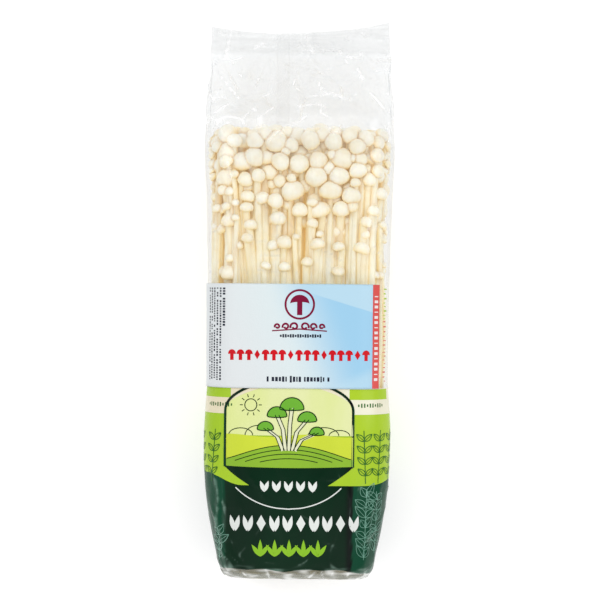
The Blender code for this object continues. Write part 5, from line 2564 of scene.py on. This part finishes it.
    def _small_marks(self) -> Stencil:
        """Fine dark marks: two short rows, and close columns of ticks at the left.

        Returns:
            The stencil.
        """
        stencil = Stencil(0.5)
        x, y = self.short_row
        for k in range(17):
            stencil.bar(x + 0.9 * (k - 8), y, 0.32, 0.62 if k % 3 else 0.4)
        rng = random.Random(9)
        x, end, y = self.low_row
        while x < end:
            wide = rng.uniform(0.22, 0.5)
            stencil.bar(x + wide, y, wide, rng.uniform(0.75, 1.25))
            x += 2 * wide + (1.1 if rng.random() < 0.15 else 0.38)
        for row in range(6):
            y, last = self.high_y - 1.6, self.low_y + (3.0 if row else 22.0)
            while y > last:
                length = rng.uniform(0.2, 0.42)
                half = 0.34 if row else 0.5
                stencil.bar(self.column_s - self.column_pitch * row, y - length, half, length)
                y -= 2 * length + (1.2 if rng.random() < 0.12 else 0.34)
        return stencil


# The studio


@dataclass
class Studio:
    """A plain pale floor, soft lights and the camera that looks down on the pack."""

    frame_width: float = 228.0
    camera_height: float = 622.0
    subject_height: float = 22.0
    camera_x: float = 0.57
    camera_y: float = 0.0
    camera_roll: float = math.radians(0.55)
    sensor: float = 36.0
    floor_half: float = 3.0
    floor_gap: float = 0.0003
    sky: tuple[tuple[float, float], ...] = (
        (0.0, 0.40),
        (0.3, 0.54),
        (0.6, 0.86),
        (0.8, 1.0),
        (0.93, 0.72),
        (1.0, 0.25),
    )
    sky_strength: float = 1.36

    def build(self, floor_finish: Material) -> None:
        """Makes the floor, lights, world and camera.

        Args:
            floor_finish: The floor's material.
        """
        self._floor(floor_finish)
        self._world()
        self._lights()
        self._camera()

    def _floor(self, material: Material) -> None:
        """The floor.

        Args:
            material: Its material.
        """
        size, low = self.floor_half, -self.floor_gap
        mesh = bpy.data.meshes.new("studio_floor")
        corners = [(-size, -size, low), (size, -size, low), (size, size, low), (-size, size, low)]
        mesh.from_pydata(corners, [], [(0, 1, 2, 3)])
        mesh.materials.append(material)
        floor = bpy.data.objects.new("studio_floor", mesh)
        bpy.context.scene.collection.objects.link(floor)

    def _world(self) -> None:
        """A white tent, dim straight overhead where the camera looks through."""
        world = bpy.data.worlds.new("studio_world")
        world.use_nodes = True
        graph = Graph(world.node_tree)
        heading = graph.add("ShaderNodeTexCoord").outputs["Generated"]
        height = graph.add("ShaderNodeSeparateXYZ", Vector=heading).outputs["Z"]
        tent = graph.add("ShaderNodeValToRGB", Fac=height)
        stops = tent.color_ramp.elements
        while len(stops) < len(self.sky):
            stops.new(0.5)
        for stop, (place, bright) in zip(stops, self.sky):
            stop.position = place
            stop.color = (bright, bright, bright, 1.0)
        shade = graph.add("ShaderNodeBackground", Color=tent.outputs[0], Strength=self.sky_strength)
        graph.feed(graph.add("ShaderNodeOutputWorld").inputs["Surface"], shade.outputs[0])
        bpy.context.scene.world = world
        bpy.context.scene.view_settings.view_transform = "Standard"

    def _lights(self) -> None:
        """Soft boxes at both sides and the top end."""
        for name, place, size, power in (
            ("soft_left", (-0.50, 0.20, 0.62), (0.12, 0.6), 1.0),
            ("soft_right", (0.55, 0.05, 0.50), (0.12, 0.6), 0.9),
            ("soft_top_end", (0.05, 0.62, 0.55), (0.6, 0.14), 0.35),
        ):
            lamp = bpy.data.lights.new(name, "AREA")
            lamp.shape = "RECTANGLE"
            lamp.size, lamp.size_y = size
            lamp.energy = power
            light = bpy.data.objects.new(name, lamp)
            light.location = place
            light.rotation_euler = Vector(place).to_track_quat("Z", "Y").to_euler()
            bpy.context.scene.collection.objects.link(light)

    def _camera(self) -> None:
        """The camera straight above the pack, framed as the photograph is."""
        data = bpy.data.cameras.new("camera")
        data.sensor_width = self.sensor
        data.lens = self.sensor * (self.camera_height - self.subject_height) / self.frame_width
        data.clip_start = 0.01
        camera = bpy.data.objects.new("camera", data)
        camera.location = (self.camera_x * MM, self.camera_y * MM, self.camera_height * MM)
        camera.rotation_euler = (0.0, 0.0, self.camera_roll)
        bpy.context.scene.collection.objects.link(camera)
        bpy.context.scene.camera = camera


def make_inks(tones: dict[str, tuple], ripple: NodeTree, **settings: float) -> dict[str, Material]:
    """The inks of a table of tones by name, all with the same settings."""
    return {key: InkFinish(*tone, **settings).build(ripple) for key, tone in tones.items()}


FILM_TONES = {
    "light": ("ink_light_green", srgb(160, 190, 42), srgb(150, 184, 44)),
    # The dark green's third tone is a painted lighter green for its sides, and its fourth a painted
    # near-black fold shade.
    "dark": ("ink_dark_green", srgb(0, 37, 18), srgb(1, 30, 15), srgb(4, 62, 41), srgb(2, 9, 7)),
    "window": ("ink_window_sky", srgb(211, 216, 162), srgb(203, 212, 138)),
    "field": ("ink_window_field", srgb(192, 205, 60), srgb(184, 198, 56)),
    "mound": ("ink_window_mound", srgb(133, 173, 50), srgb(124, 165, 46)),
    "cap_green": ("ink_cap_green", srgb(104, 166, 52), srgb(96, 158, 48)),
    "line_green": ("ink_line_green", srgb(50, 100, 40), srgb(44, 92, 36)),
    "line_red": ("ink_line_red", srgb(206, 120, 110), srgb(200, 112, 104)),
    "pale": ("ink_pale_band", srgb(221, 220, 200), srgb(212, 202, 174)),
    "cream": ("ink_cream", srgb(214, 216, 186), srgb(206, 208, 172)),
    "white": ("ink_white", srgb(214, 218, 214), srgb(206, 210, 206)),
    "lime": ("ink_lime", srgb(130, 180, 40), srgb(122, 172, 36)),
    "pale_line": ("ink_pale_line", srgb(120, 160, 144), srgb(94, 140, 122)),
}
LABEL_TONES = {
    "red": ("ink_strip_red", srgb(206, 84, 80), srgb(200, 78, 74)),
    "title_red": ("ink_title_red", srgb(196, 18, 30), srgb(186, 14, 26)),
    "maroon": ("ink_maroon", srgb(120, 14, 52), srgb(112, 10, 48)),
    "white": ("ink_label_white", srgb(224, 214, 214), srgb(218, 208, 208)),
    "ink_dark": ("ink_small_marks", srgb(34, 38, 54), srgb(26, 30, 46)),
}
LABEL_INK = {"roughness": 0.4, "gloss": 0.0}


def main() -> None:
    """Builds every piece in order."""
    logging.basicConfig(level=logging.INFO, format="%(message)s")
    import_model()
    form = BagForm()
    relief = FilmRelief(form)
    MushroomBunch(form).build(FleshFinish().build())
    ripple = FilmRipple().build()
    inks = make_inks(FILM_TONES, ripple)
    zones = {Zone.DARK_GREEN: inks["dark"], Zone.LIGHT_GREEN: inks["light"]}
    # Film in many layers at the foot: dark for the dark print seen through it and for painted shade in the
    # gathers, with painted white glints on its creases.
    gathered = FilmFinish(
        "gathered_film",
        colour=(0.2, 0.21, 0.18, 1.0),
        crease_glint_colour=(0.76, 0.77, 0.75, 1.0),
        pass_through=(0.6, 0.6, 0.54, 1.0),
        seal_through=(0.5, 0.5, 0.44, 1.0),
        base_see=0.5,
        milk_and_glint_see=0.6,
        crease_glint_see=0.4,
    )
    foot = FilmFinish("foot_film", pass_through=(0.88, 0.88, 0.85, 1.0), base_see=0.14, crease_glint_see=0.3)
    lap = FilmFinish("lap_film", pass_through=(0.99, 0.99, 0.99, 1.0), base_see=0.03, rim_see=0.2)
    films = [film.build(ripple) for film in (FilmFinish(), gathered, foot, lap)]
    FilmBag(form, relief).build(*films, zones)
    BagPrint(relief).build(inks)
    FrontLabel(form).build(LabelFinish().build(), make_inks(LABEL_TONES, ripple, **LABEL_INK))
    Studio().build(FloorFinish().build())


if __name__ == "__main__":
    main()
